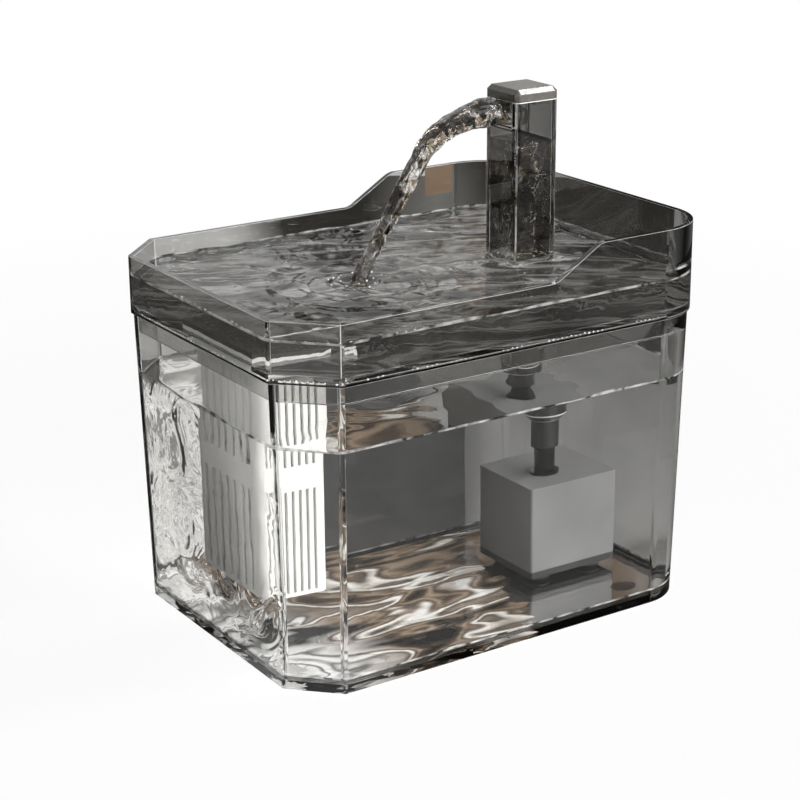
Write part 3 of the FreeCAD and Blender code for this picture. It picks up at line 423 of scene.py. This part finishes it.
materials = {
    "tank": clear_plastic("smoky_clear_tank", (0.72, 0.715, 0.705), 0.012, waves=0.25),
    "tray": clear_plastic("smoky_clear_tray", (0.50, 0.495, 0.48), 0.012, waves=0.25),
    "column": clear_plastic("smoky_clear_column", (0.58, 0.575, 0.56), 0.012, waves=0.25,
                            crown=(COLUMN_WATER, 0.6)),
    "ramp": clear_plastic("smoky_clear_ramp", (0.5, 0.495, 0.48), 0.03),
    "feet": clear_plastic("clear_silicone", (0.72, 0.72, 0.71), 0.25, 1.42),
    "cap": solid_plastic("cap_grey", (0.10, 0.091, 0.078), 0.25, 600, 0.02),
    "black": solid_plastic("black_silicone", (0.015, 0.015, 0.016), 0.4, 700, 0.05),
    "cage": solid_plastic("cage_white", (0.90, 0.90, 0.88), 0.5, 800, 0.05),
    "lid": solid_plastic("cap_grey_lid", (0.05, 0.043, 0.036), 0.25, 600, 0.03, coat=0.3),
    "fleece": fibre("filter_fleece", (0.72, 0.72, 0.70), 900, 0.7),
    "sponge": fibre("filter_sponge", (0.55, 0.55, 0.54), 700, 0.9, True),
    "pump": solid_plastic("pump_grey", (0.20, 0.202, 0.202), 0.5, depth=0.03, shine=0.15),
    "dark": solid_plastic("pump_dark", (0.014, 0.014, 0.015), 0.5, depth=0.05),
    "tube": clear_plastic("smoke_dark", (0.012, 0.012, 0.011), 0.03, 1.5),
    "impeller": solid_plastic("impeller_white", (0.75, 0.75, 0.73), 0.4),
    "ferrite": metal("ferrite", (0.06, 0.06, 0.062), 0.5, (1, 1, 14)),
    "ceramic": solid_plastic("shaft_ceramic", (0.85, 0.84, 0.80), 0.15, 1200, 0.02, coat=0.3),
    "iron": metal("core_iron", (0.32, 0.32, 0.33), 0.4, (1, 1, 60)),
    "bobbin": solid_plastic("bobbin_plastic", (0.50, 0.48, 0.42), 0.5),
    "copper": metal("copper", (0.62, 0.27, 0.13), 0.3, (0.2, 0.2, 3), 900),
    "water_tank": water_material("water_tank", 0.0, 0.0, STILL, TANK_IOR),
    "water_tray": water_material("water_tray", 0.07, 0.2),
    "water_stream": water_material("water_stream", 1.0, 0.8, painted_rope_light=ROPES_PAINTED_LIGHT),
    "water_side": water_material("water_side", 0.0, 0.0, STILL, NO_BEND),
    "water_wall": water_material("water_wall", 0.25, 0.8, STILL, TANK_IOR),
    # Nearly black water: painted shade along the foot of the tank's water
    "water_foot_painted_shade": water_material("water_foot_painted_shade", 0.0, 0.0, (0.06, 0.058, 0.055), TANK_IOR),
    # Painted highlights: near-white bevels and drops, and at the water's edges a dark-to-white
    # mottle of painted shade and highlight
    "edge": painted_glint_edge("painted_glint_edge", 60, 0.75, 0.2, PLASTIC_IOR),
    "meniscus_painted_light": painted_glint_edge("water_meniscus", 160, 0.06, 0.55, TANK_IOR),
    "water_floor_painted_caustics": painted_caustics_material(),
    "water_bed_painted_streaks": painted_streaks_material(),
}

DRESS = {
    "tank": "tank", "tank_feet": "feet", "tray": "tray", "spout_column": "column",
    "column_seal": "feet", "spout_ramp": "ramp", "spout_cap": "cap", "hose_coupler": "black",
    "filter_housing": "cage", "filter_lid": "lid", "filter_pouch": "fleece",
    "filter_foam": "sponge", "pump_body": "pump", "pump_base": "dark", "motor_can": "dark",
    "outlet_tube": "tube", "impeller": "impeller", "rotor_magnet": "ferrite",
    "rotor_shaft": "ceramic", "upper_bush": "ceramic", "lower_bush": "ceramic",
    "stator_core": "iron", "coil_bobbin": "bobbin", "stator_coil": "copper",
    "cable_gland": "dark", "suction_feet": "black",
}


def dress(node, material):
    """Gives a CAD node one material."""
    mesh = NODES[node].data
    mesh.materials.clear()
    mesh.materials.append(material)


# Broken edges: width in metres, segments, and whether their bevel faces get the painted highlight
# of the edge material
BEVELS = {
    "tank": (0.0006, 2, True), "tray": (0.0005, 2, True), "spout_column": (0.0007, 2, True),
    "spout_cap": (0.0007, 2, True), "pump_body": (0.0004, 2, False),
    "filter_housing": (0.0003, 1, False),
}


def bevel_edges(node, width, segments, with_painted_highlight):
    """Breaks a node's sharp edges, so that they catch the light; where asked, the bevel faces get
    the edge material, a painted highlight.

    The frame's meshes have split corners, which have to be joined first."""
    weld = NODES[node].modifiers.new("joined_corners", "WELD")
    weld.merge_threshold = WELD_REACH
    modifier = NODES[node].modifiers.new("broken_edges", "BEVEL")
    modifier.width = width
    modifier.segments = segments
    modifier.limit_method = "ANGLE"
    modifier.angle_limit = BEVEL_ANGLE
    modifier.use_clamp_overlap = True
    if with_painted_highlight:
        NODES[node].data.materials.append(materials["edge"])
        modifier.material = 1


# Mesh helpers

def add_piece(name, mesh, material, body, smooth=True):
    """Links a mesh as a piece that rides on a body, or on none yet."""
    if smooth:
        mesh.shade_smooth()
        mesh.set_sharp_from_angle(angle=SMOOTH_ANGLE)
    piece = bpy.data.objects.new(name, mesh)
    scene.collection.objects.link(piece)
    mesh.materials.append(material)
    if body:
        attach(piece, body)
    return piece


def add_looks(mesh, names):
    """Gives a mesh further materials, and returns the number of each for its faces."""
    for name in names:
        mesh.materials.append(materials[name])
    return {name: number for number, name in enumerate(names, 1)}


def write_mesh(name, made):
    """A mesh of what was made, which is freed."""
    mesh = bpy.data.meshes.new(name)
    made.to_mesh(mesh)
    made.free()
    return mesh


def close_skin(name, made, loops):
    """A mesh of loops of corners, joined into one closed skin."""
    count = len(loops[0])
    for first, second in zip(loops, loops[1:]):
        for i in range(count):
            j = (i + 1) % count
            made.faces.new((first[i], first[j], second[j], second[i]))
    made.faces.new(list(reversed(loops[0])))
    made.faces.new(loops[-1])
    bmesh.ops.recalc_face_normals(made, faces=made.faces)
    return write_mesh(name, made)


def inner_outline(inset, divide=0.004):
    """Points round the tank's or tray's outline at an inset, with long sides divided."""
    x, y = HALF_LENGTH - inset, HALF_WIDTH - inset
    leg = CORNER_CUT - LEG_LOSS * inset
    bend = CORNER_ROUND - inset
    corners = [Vector((-x, -y + leg)), Vector((-x + leg, -y)), Vector((x - bend, -y))]
    for step in range(1, CORNER_STEPS):
        turn = math.radians(-90 + 90 * step / CORNER_STEPS)
        corners.append(Vector((x - bend + bend * math.cos(turn),
                               -y + bend + bend * math.sin(turn))))
    corners.append(Vector((x, -y + bend)))
    for step in range(CORNER_STEPS):
        turn = math.radians(90 * step / CORNER_STEPS)
        corners.append(Vector((x - bend + bend * math.cos(turn),
                               y - bend + bend * math.sin(turn))))
    corners += [Vector((x - bend, y)), Vector((-x + leg, y)), Vector((-x, y - leg))]
    points = []
    for start, end in zip(corners, corners[1:] + corners[:1]):
        parts = max(1, round((end - start).length / divide))
        points += [start.lerp(end, part / parts) for part in range(parts)]
    return points


def water_mesh(name, foot, top, rings, wave, floor_wave, bands=()):
    """A body of water: wavy above and below, upright at the walls.

    foot and top are (level, inset); bands are the levels where its sides are parted."""
    made = bmesh.new()
    outlines = []
    for level in (foot[0], *bands, top[0]):
        part = (level - foot[0]) / (top[0] - foot[0])
        outlines.append((level, inner_outline(foot[1] + (top[1] - foot[1]) * part)))
    count = min(len(points) for level, points in outlines)
    outlines = [(level, [points[int(i * len(points) / count)] for i in range(count)])
                for level, points in outlines]
    shares = [(ring / rings) ** CROWDING for ring in range(rings)]

    def add_loop(points, level, share, lift):
        near = [p * (1 - share) for p in points]
        return [made.verts.new((q.x, q.y, level + lift(q.x, q.y))) for q in near]

    level, points = outlines[0]
    loops = [add_loop(points, level, share, floor_wave) for share in reversed(shares)]
    for level, points in outlines[1:-1]:
        loops.append(add_loop(points, level, 0, lambda x, y: 0))
    level, points = outlines[-1]
    for number, share in enumerate(shares):
        climb = CLIMB[number] if number < len(CLIMB) else 0
        loops.append(add_loop(points, level + climb, share, wave))
    return close_skin(name, made, loops)


# Water

def in_view(x, y):
    """The place across and along the photograph's line of sight."""
    return SIGHT_COS * x - SIGHT_SIN * y, SIGHT_SIN * x + SIGHT_COS * y


def tank_wave(x, y):
    """Slow swell, rougher by the filter."""
    swell = 0.0009 * value_noise(x, y, 0.3, 0.030) + 0.0005 * value_noise(x, y, 1.7, 0.012)
    near = math.exp(-((x - ROUGH_X) ** 2 + (y - ROUGH_Y) ** 2) / 0.0010)
    return swell + near * 0.0022 * value_noise(x, y, 2.1, 0.010)


def tray_wave(x, y):
    """Rings round the landing stream, and streaks across the basin."""
    away = math.hypot(x - LANDING.x, y - LANDING.y)
    rings = 0.0009 * math.cos(away / 0.0021) * math.exp(-away / 0.030)
    hollow = -0.0016 * math.exp(-(away / 0.005) ** 2)
    crown = 0.0014 * math.exp(-((away - 0.008) / 0.0028) ** 2)
    rough = 1 + 0.9 * value_noise(x, y, 5.0, 0.012)
    across, deep = in_view(x, y)
    streak = 0.0010 * value_noise(across * 0.35, deep * 1.3, 0.9, 0.011)
    return (rings + crown) * rough + hollow + streak + 0.00015 * value_noise(x, y, 3.3, 0.006)


def bed_wave(x, y):
    """Waves against the tank's floor, which read as pebbles of light, calm by the pump."""
    across, deep = in_view(x, y)
    calm = min(1.0, max(0.0, (CALM_LINE - x + SLANT * y) / 0.02))
    edge = min(1.0, 0.2 + 8 * max(0.0, 0.07 - abs(y)))
    broad = value_noise(across, deep * 1.7, 4.0, 0.013)
    fine = value_noise(across, deep * 2.2, 9.0, 0.006)
    return calm * edge * 0.0012 * (broad + 0.6 * fine + 0.6) + 0.0001


def make_tank_water():
    """Water in the tank, rippled on top, with painted, glowing lines of light at its floor."""
    low, high = TANK_FLOOR - OVERLAP, TANK_WATER
    inset = TANK_INSET - OVERLAP
    mesh = water_mesh("tank_water", (low, inset + (TANK_RIM - low) * TANK_SLOPE),
                      (high, inset + (TANK_RIM - high) * TANK_SLOPE), 60, tank_wave, bed_wave,
                      (low + FOOT_BAND, low + FOOT_LINE, high - TOP_BAND))
    piece = add_piece("tank_water", mesh, materials["water_tank"], "base")
    looks = add_looks(mesh, ("water_floor_painted_caustics", "water_wall", "water_foot_painted_shade", "meniscus_painted_light",
                             "water_side"))
    for face in mesh.polygons:
        x, y, z = face.center
        # Floor faces before the pump get painted caustics; side faces get painted shade at the
        # foot and painted highlight and shade at the foot line and the water line
        if z < low + 0.0028 and face.normal.z < -0.5:
            if x < LIGHT_LINE + SLANT * y + 0.01 * value_noise(x, y, 0, 0.01):
                face.material_index = looks["water_floor_painted_caustics"]
        elif abs(face.normal.z) < 0.5:
            if z < low + FOOT_BAND:
                face.material_index = looks["water_foot_painted_shade"]
            elif z < low + FOOT_LINE or z > high - 0.0005:
                face.material_index = looks["meniscus_painted_light"]
            elif face.normal.x < -0.9:
                face.material_index = looks["water_wall"]
            elif face.normal.x > 0.5:
                face.material_index = looks["water_side"]
    return piece


def make_tray_water():
    """Water in the drinking tray, with rings where the stream lands."""
    inset = TRAY_WALL - OVERLAP
    mesh = water_mesh("tray_water", (TRAY_FLOOR - OVERLAP, inset), (TRAY_WATER, inset), 80,
                      tray_wave, lambda x, y: 0, (TRAY_WATER - 0.0002,))
    piece = add_piece("tray_water", mesh, materials["water_tray"], "drinking_tray")
    looks = add_looks(mesh, ("meniscus_painted_light", "water_bed_painted_streaks"))
    for face in mesh.polygons:
        # Painted highlight and shade along the water line
        if abs(face.normal.z) < 0.5 and face.center.z > TRAY_WATER - 0.0003:
            face.material_index = looks["meniscus_painted_light"]
        # Streaks of painted reflection and refraction on the bed
        elif face.center.z < TRAY_FLOOR:
            face.material_index = looks["water_bed_painted_streaks"]
    return piece


# Middle line of the stream: distance from the column's face, height and half thickness
STREAM = [(-0.010, 0.1990, 0.0040), (-0.002, 0.2010, 0.0050), (0.008, 0.2022, 0.0060),
          (0.0173, 0.2014, 0.0050), (0.0265, 0.1992, 0.0043), (0.0345, 0.1958, 0.0040),
          (0.0405, 0.1908, 0.0038), (0.0450, 0.1855, 0.0036), (0.0500, 0.1788, 0.0034),
          (0.0548, 0.1718, 0.0033), (0.0592, 0.1652, 0.0031), (0.0640, 0.1582, 0.0029),
          (0.0685, 0.1515, 0.0028), (0.0730, 0.1445, 0.0028), (0.0755, 0.1395, 0.0030)]
STREAM_TURN = math.radians(5)


def smooth_path(points, parts):
    """A smooth line through the points, by Catmull and Rom's rule."""
    ends = [points[0]] + list(points) + [points[-1]]
    line = []
    for a, b, c, d in zip(ends, ends[1:], ends[2:], ends[3:]):
        for part in range(parts):
            t = part / parts
            line.append(0.5 * ((2 * b) + (c - a) * t + (2 * a - 5 * b + 4 * c - d) * t * t
                               + (3 * b - a - 3 * c + d) * t ** 3))
    line.append(points[-1].copy())
    return line


def make_stream():
    """Ropey stream from the outlet window to the tray."""
    line = smooth_path([Vector(p) for p in STREAM], 10)
    made = bmesh.new()
    around = 36
    ahead = Vector((-math.cos(STREAM_TURN), -math.sin(STREAM_TURN), 0))
    side = Vector((math.sin(STREAM_TURN), -math.cos(STREAM_TURN), 0))
    start = Vector((COLUMN_FACE, 0, 0))
    loops = []
    for number, (away, height, half) in enumerate(line):
        before = line[max(0, number - 1)]
        after = line[min(len(line) - 1, number + 1)]
        climb = Vector((0, 0, after[1] - before[1]))
        along = (ahead * (after[0] - before[0]) + climb).normalized()
        out = side.cross(along).normalized()
        middle = start + ahead * away + Vector((0, 0, height))
        fall = number / (len(line) - 1)
        # Wider than it is thick where it leaves the column
        wide = half * (1.45 - 0.45 * min(1, fall * 2.2))
        loop = []
        for step in range(around):
            turn = 2 * math.pi * step / around
            # Three and five folds that wind round the stream as it falls
            rope = 0.10 * math.sin(3 * turn + fall * 9) + 0.07 * math.sin(5 * turn - fall * 14)
            rough = 0.16 * value_noise(math.cos(turn) * 2, math.sin(turn) * 2, fall * 26, 1.0)
            reach = 1 + (rope + rough) * min(1, 0.3 + fall * 3)
            loop.append(made.verts.new(middle + side * (wide * reach * math.cos(turn))
                                       + out * (half * reach * math.sin(turn))))
        loops.append(loop)
    mesh = close_skin("stream", made, loops)
    piece = add_piece("stream", mesh, materials["water_stream"], None)
    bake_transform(piece)
    return piece


# Turn from one splash drop to the next that spreads them evenly, in radians
GOLDEN_ANGLE = 2.39996
SPLASH_COUNT = 18
# Insets of the drops along the tray's wall and along the seam, and the seam's height over the rim
WALL_DROPS = 0.0032
SEAM_DROPS = 0.0001
SEAM_RISE = 0.0016


def add_drop(made, centre, size):
    """One drop or bubble in a mesh being made."""
    ball = bmesh.ops.create_icosphere(made, subdivisions=2, radius=size)
    bmesh.ops.translate(made, verts=ball["verts"], vec=centre)


def scatter(number, step, row):
    """An uneven share between 0 and 1 for one of a row of drops."""
    return abs(value_noise(number * step, row))


def make_drops():
    """Drops thrown up where the stream lands, and beads of air along the water's edge."""
    made = bmesh.new()
    rim = [p for p in inner_outline(WALL_DROPS) if p.x < -0.045 and p.y < 0.03]
    for number, p in enumerate(rim):
        size = 0.0003 + 0.0006 * scatter(number, 1.9, 1.3)
        pull = 1 - 0.0016 * scatter(number, 1.3, 6.1) * 10
        add_drop(made, (p.x * pull, p.y * pull, TRAY_WATER + size * 0.3), size)
    for number in range(SPLASH_COUNT):
        turn = number * GOLDEN_ANGLE
        away = 0.004 + 0.011 * scatter(number, 1.7, 0.3) + 0.0003 * number
        size = 0.00025 + 0.0004 * scatter(number, 2.3, 4.1)
        lift = 0.0012 + 0.004 * scatter(number, 1.1, 8.2)
        add_drop(made, (LANDING.x + away * math.cos(turn), LANDING.y + away * math.sin(turn),
                        TRAY_WATER + lift), size)
    mesh = write_mesh("splash_drops", made)
    # The drops wear the edge material, so they show as painted glints
    return add_piece("splash_drops", mesh, materials["edge"], "drinking_tray")


def make_seam_drops():
    """Beads of water caught along the seam between the tray and the tank."""
    made = bmesh.new()
    seam = [p for p in inner_outline(SEAM_DROPS, 0.0022) if p.x < 0.07 and p.y < 0.05]
    for number, p in enumerate(seam):
        if value_noise(number * 0.35, 2.7) > -0.05:
            size = 0.0002 + 0.0004 * scatter(number, 1.9, 5.3)
            lift = 0.0006 * value_noise(number * 0.9, 3.3)
            add_drop(made, (p.x, p.y, TANK_RIM + SEAM_RISE + lift), size)
    mesh = write_mesh("seam_drops", made)
    # These beads wear the edge material too: painted glints
    return add_piece("seam_drops", mesh, materials["edge"], "drinking_tray")


def make_column_water():
    """Water that stands and runs down inside the column."""
    made = bmesh.new()
    half = COLUMN_HALF - COLUMN_WALL + OVERLAP
    low, high, rows, steps = COLUMN_FLOOR - OVERLAP, COLUMN_WATER, 60, 10
    loops = []
    for row in range(rows + 1):
        z = low + (high - low) * row / rows
        loop = []
        for number in range(4 * steps):
            # Round the square, one edge after another
            edge, part = divmod(number, steps)
            t = -1 + 2 * part / steps
            x, y = ((t, -1), (1, t), (-t, 1), (-1, -t))[edge]
            dent = 0.0004 * value_noise(x * 6, y * 6, z * 160, 1.0)
            pull = max(0.0, dent) if 0 < row < rows else 0
            loop.append(made.verts.new((COLUMN_X + x * (half - pull), y * (half - pull), z)))
        loops.append(loop)
    mesh = close_skin("column_water", made, loops)
    # It wears the stream's tint, with its painted shade and highlights
    return add_piece("column_water", mesh, materials["water_stream"], "spout",
                     False)


# Filter media, soft, in place of their plain solids

def make_soft_block(name, node, body, material, crown):
    """A crowned pad in the room that its CAD solid holds."""
    low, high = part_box(node)
    middle, half = (low + high) / 2, (high - low) / 2
    made = bmesh.new()
    bmesh.ops.create_cube(made, size=2)
    bmesh.ops.subdivide_edges(made, edges=made.edges, cuts=9, use_grid_fill=True)
    for vertex in made.verts:
        x, y, z = vertex.co
        pull = [1 - crown * (max(abs(b), abs(c)) ** 6) * 0.5 for b, c in
                ((y, z), (z, x), (x, y))]
        crease = 0.012 * value_noise(x * 3, y * 3, z * 3, 1.0)
        vertex.co = Vector((middle.x + half.x * x * (pull[0] * 0.985 + crease * 0.5),
                            middle.y + half.y * y * (pull[1] * 0.985 + crease * 0.5),
                            middle.z + half.z * z * (pull[2] * 0.99)))
    mesh = write_mesh(name, made)
    piece = add_piece(name, mesh, material, body)
    smooth = piece.modifiers.new("soft", "SUBSURF")
    smooth.levels = 1
    smooth.render_levels = 1
    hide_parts(node)
    return piece


# Stage and light

def maths(tree, operation, first, second):
    """A maths node of two sockets or numbers."""
    node = tree.nodes.new("ShaderNodeMath")
    node.operation = operation
    for socket, value in zip(node.inputs, (first, second)):
        if isinstance(value, (int, float)):
            socket.default_value = value
        else:
            tree.links.new(value, socket)
    return node.outputs[0]


def seen_directly(tree):
    """1 for what the camera sees straight, in gloss or through glass, 0 for matt light."""
    path = tree.nodes.new("ShaderNodeLightPath")
    sight = maths(tree, "MAXIMUM", path.outputs["Is Camera Ray"], path.outputs["Is Glossy Ray"])
    sight = maths(tree, "MAXIMUM", sight, path.outputs["Is Transmission Ray"])
    matt = maths(tree, "MINIMUM", path.outputs["Diffuse Depth"], 1)
    return maths(tree, "MULTIPLY", sight, maths(tree, "SUBTRACT", 1, matt))


def make_world():
    """White behind and through the object, a plain soft level on matt surfaces."""
    world = bpy.data.worlds.new("studio")
    scene.world = world
    world.use_nodes = True
    tree = world.node_tree
    seen = tree.nodes["Background"]
    seen.inputs["Color"].default_value = (1, 1, 1, 1)
    seen.inputs["Strength"].default_value = 1
    soft = tree.nodes.new("ShaderNodeBackground")
    soft.inputs["Color"].default_value = (0.97, 0.98, 1, 1)
    soft.inputs["Strength"].default_value = MATT_LIGHT
    total = seen_directly(tree)
    mix = tree.nodes.new("ShaderNodeMixShader")
    tree.links.new(total, mix.inputs["Fac"])
    tree.links.new(soft.outputs[0], mix.inputs[1])
    tree.links.new(seen.outputs[0], mix.inputs[2])
    tree.links.new(mix.outputs[0], tree.nodes["World Output"].inputs["Surface"])


def make_floor():
    """Pale floor that reads as white and keeps a little of the object's shadow."""
    made = bmesh.new()
    bmesh.ops.create_grid(made, x_segments=1, y_segments=1, size=6)
    mesh = write_mesh("studio_floor", made)
    floor = bpy.data.objects.new("studio_floor", mesh)
    floor.location.z = FLOOR_LEVEL
    scene.collection.objects.link(floor)
    material, tree, shader = new_material("floor_white")
    shader.inputs["Base Color"].default_value = (0.85, 0.85, 0.85, 1)
    shader.inputs["Roughness"].default_value = 0.9
    glow = tree.nodes.new("ShaderNodeEmission")
    glow.inputs["Strength"].default_value = 1
    total = seen_directly(tree)
    away = tree.nodes.new("ShaderNodeVectorMath")
    away.operation = "LENGTH"
    tree.links.new(object_place(tree), away.inputs[0])
    near = add_span(tree, away.outputs["Value"], 0.15, 0.7, 0.9, 1)
    share = maths(tree, "MULTIPLY", total, near)
    mix = tree.nodes.new("ShaderNodeMixShader")
    tree.links.new(share, mix.inputs["Fac"])
    tree.links.new(shader.outputs[0], mix.inputs[1])
    tree.links.new(glow.outputs[0], mix.inputs[2])
    tree.links.new(mix.outputs[0], tree.nodes["Material Output"].inputs["Surface"])
    mesh.materials.append(material)


def add_card(name, made, source, stops, power, seen_by):
    """A glowing card of the studio, which the camera sees only in gloss or through glass.

    source gives the socket, in a node tree, that picks a colour from the stops."""
    mesh = write_mesh(name, made)
    card = bpy.data.objects.new(name, mesh)
    scene.collection.objects.link(card)
    material = bpy.data.materials.new(name)
    material.use_nodes = True
    tree = material.node_tree
    tree.nodes.clear()
    glow = tree.nodes.new("ShaderNodeEmission")
    tree.links.new(add_ramp(tree, source(tree), stops), glow.inputs["Color"])
    tree.links.new(maths(tree, "MULTIPLY", seen_directly(tree), power), glow.inputs["Strength"])
    out = tree.nodes.new("ShaderNodeOutputMaterial")
    tree.links.new(glow.outputs[0], out.inputs["Surface"])
    mesh.materials.append(material)
    card.visible_camera = False
    card.visible_diffuse = False
    card.visible_shadow = False
    card.visible_glossy = "gloss" in seen_by
    card.visible_transmission = "glass" in seen_by


def direction(tree):
    """The direction of a point from the middle, as a share of a turn."""
    turn = tree.nodes.new("ShaderNodeTexGradient")
    turn.gradient_type = "RADIAL"
    tree.links.new(object_place(tree), turn.inputs["Vector"])
    return turn.outputs["Fac"]


def glow_ring(name, radii, levels, stops, seen_by):
    """A card that goes round the object; stops are (share of a turn, colour)."""
    made = bmesh.new()
    steps = 96
    rings = []
    for radius, level in zip(radii, levels):
        rings.append([made.verts.new((radius * math.cos(2 * math.pi * i / steps),
                                      radius * math.sin(2 * math.pi * i / steps), level))
                      for i in range(steps)])
    for i in range(steps):
        j = (i + 1) % steps
        made.faces.new((rings[0][i], rings[0][j], rings[1][j], rings[1][i]))
    add_card(name, made, direction, stops, 1, seen_by)


def small_card(name, low, high, stops, power=1.0, place=HALF_WIDTH + CARD_GAP):
    """A small upright card behind the object, mottled, seen only through the clear walls.

    low and high are its corners as (x, z), and place is its y."""
    made = bmesh.new()
    corners = [(low[0], low[1]), (high[0], low[1]), (high[0], high[1]), (low[0], high[1])]
    made.faces.new([made.verts.new((x, place, z)) for x, z in corners])
    add_card(name, made, lambda tree: add_noise(tree, 26, 2, (1, 1, 2.2), 1.5), stops, power,
             ("glass",))


# Lamps: place, the point they look at, watts, and size in metres
CAP_AT = (COLUMN_X, 0, 0.21)
LAMPS = {
    "lamp_key": ((0.60, -1.15, 0.45), (0, 0, 0.08), 22, 0.7),
    "lamp_fill": ((-0.34, -0.16, 0.20), (-0.08, -0.02, 0.06), 0.26, 0.14),
    "lamp_top": ((0.76, -0.22, 1.157), CAP_AT, 5, 0.2),
}


def make_lamp(name, place, aim, power, size):
    """A soft square lamp that looks at a point."""
    data = bpy.data.lights.new(name, "AREA")
    data.shape = "RECTANGLE"
    data.size = data.size_y = size
    data.energy = power
    lamp = bpy.data.objects.new(name, data)
    lamp.visible_camera = False
    scene.collection.objects.link(lamp)
    lamp.location = place
    lamp.rotation_mode = "QUATERNION"
    lamp.rotation_quaternion = (Vector(aim) - Vector(place)).to_track_quat("-Z", "Y")


def make_studio():
    """World, floor, cards that stand for the room in gloss and behind glass, and lamps."""
    make_world()
    make_floor()
    dark, grey, light = (0.05, 0.047, 0.042), (0.30, 0.30, 0.29), (0.85, 0.85, 0.84)
    slate, mid, white = (0.12, 0.122, 0.125), (0.45, 0.45, 0.45), (1, 1, 1)
    brown = (0.36, 0.25, 0.17)
    wall = [(0.00, grey), (0.07, dark), (0.10, dark), (0.14, light), (0.20, light), (0.24, dark),
            (0.34, grey), (0.40, light), (0.46, dark), (0.54, grey), (0.600, dark), (0.630, dark),
            (0.636, light), (0.643, light), (0.645, brown), (0.650, brown), (0.652, white),
            (0.663, white), (0.665, dark), (0.672, dark), (0.675, light), (0.700, light),
            (0.73, dark), (0.77, grey), (0.82, light), (0.88, dark), (0.95, dark), (1.00, grey)]
    flat = (CARD_LEVEL, CARD_LEVEL)
    glow_ring("card_wall", (STUDIO_REACH, STUDIO_REACH), (-0.001, 0.5), wall,
              ("gloss", "glass"))
    ground = [(0.00, dark), (0.05, light), (0.14, light), (0.20, dark), (0.80, dark), (1.00, dark)]
    glow_ring("card_floor_gloss", (HUB, STUDIO_REACH), flat, ground, ("gloss",))
    through = [(0.00, grey), (0.25, light), (0.50, grey), (0.52, mid), (0.640, mid),
               (0.660, slate), (0.75, slate), (0.80, light), (1.00, grey)]
    glow_ring("card_near_glass", (HUB, NEAR_REACH), flat, through, ("glass",))
    far = [(0.00, grey), (0.25, light), (0.50, grey), (0.600, dark), (0.640, dark),
           (0.652, grey), (0.664, dark), (0.680, dark), (0.690, light), (0.80, light),
           (1.00, grey)]
    glow_ring("card_far_glass", (NEAR_REACH, STUDIO_REACH), flat, far, ("glass",))
    veins = [(0.34, grey), (0.41, white), (0.46, light), (0.485, grey), (0.505, white),
             (0.57, white), (0.60, mid), (0.66, white)]
    small_card("card_behind_left", (-0.10, 0.0), (-0.014, 0.085), veins, 2.0)
    small_card("card_behind_mid", (-0.013, 0.0), (0.058, 0.098),
               [(0.3, shade(slate, 0.85)), (0.7, shade(slate, 1.1))])
    small_card("card_brown", (0.209, 0.086), (0.2475, 0.130),
               [(0.3, shade(brown, 0.9)), (0.7, shade(brown, 1.05))], 1.2, CARD_BACK)
    small_card("card_light", (0.2500, 0.072), (0.2575, 0.130), [(0.3, light), (0.7, white)],
               1, CARD_BACK)
    for name, lamp in LAMPS.items():
        make_lamp(name, *lamp)


make_camera()
for node_name, material_name in DRESS.items():
    dress(node_name, materials[material_name])
for node_name, bevel in BEVELS.items():
    bevel_edges(node_name, *bevel)

water = [make_tank_water(), make_tray_water(), make_stream(), make_drops(), make_seam_drops(),
         make_column_water()]
make_soft_block("fleece_pouch", "filter_pouch", "filter", materials["fleece"],
                0.12)
make_soft_block("sponge_block", "filter_foam", "filter", materials["sponge"],
                0.05)
for clear in [*water, *(NODES[n] for n in ("tank", "tray", "spout_column", "spout_ramp"))]:
    clear.visible_shadow = False
make_studio()
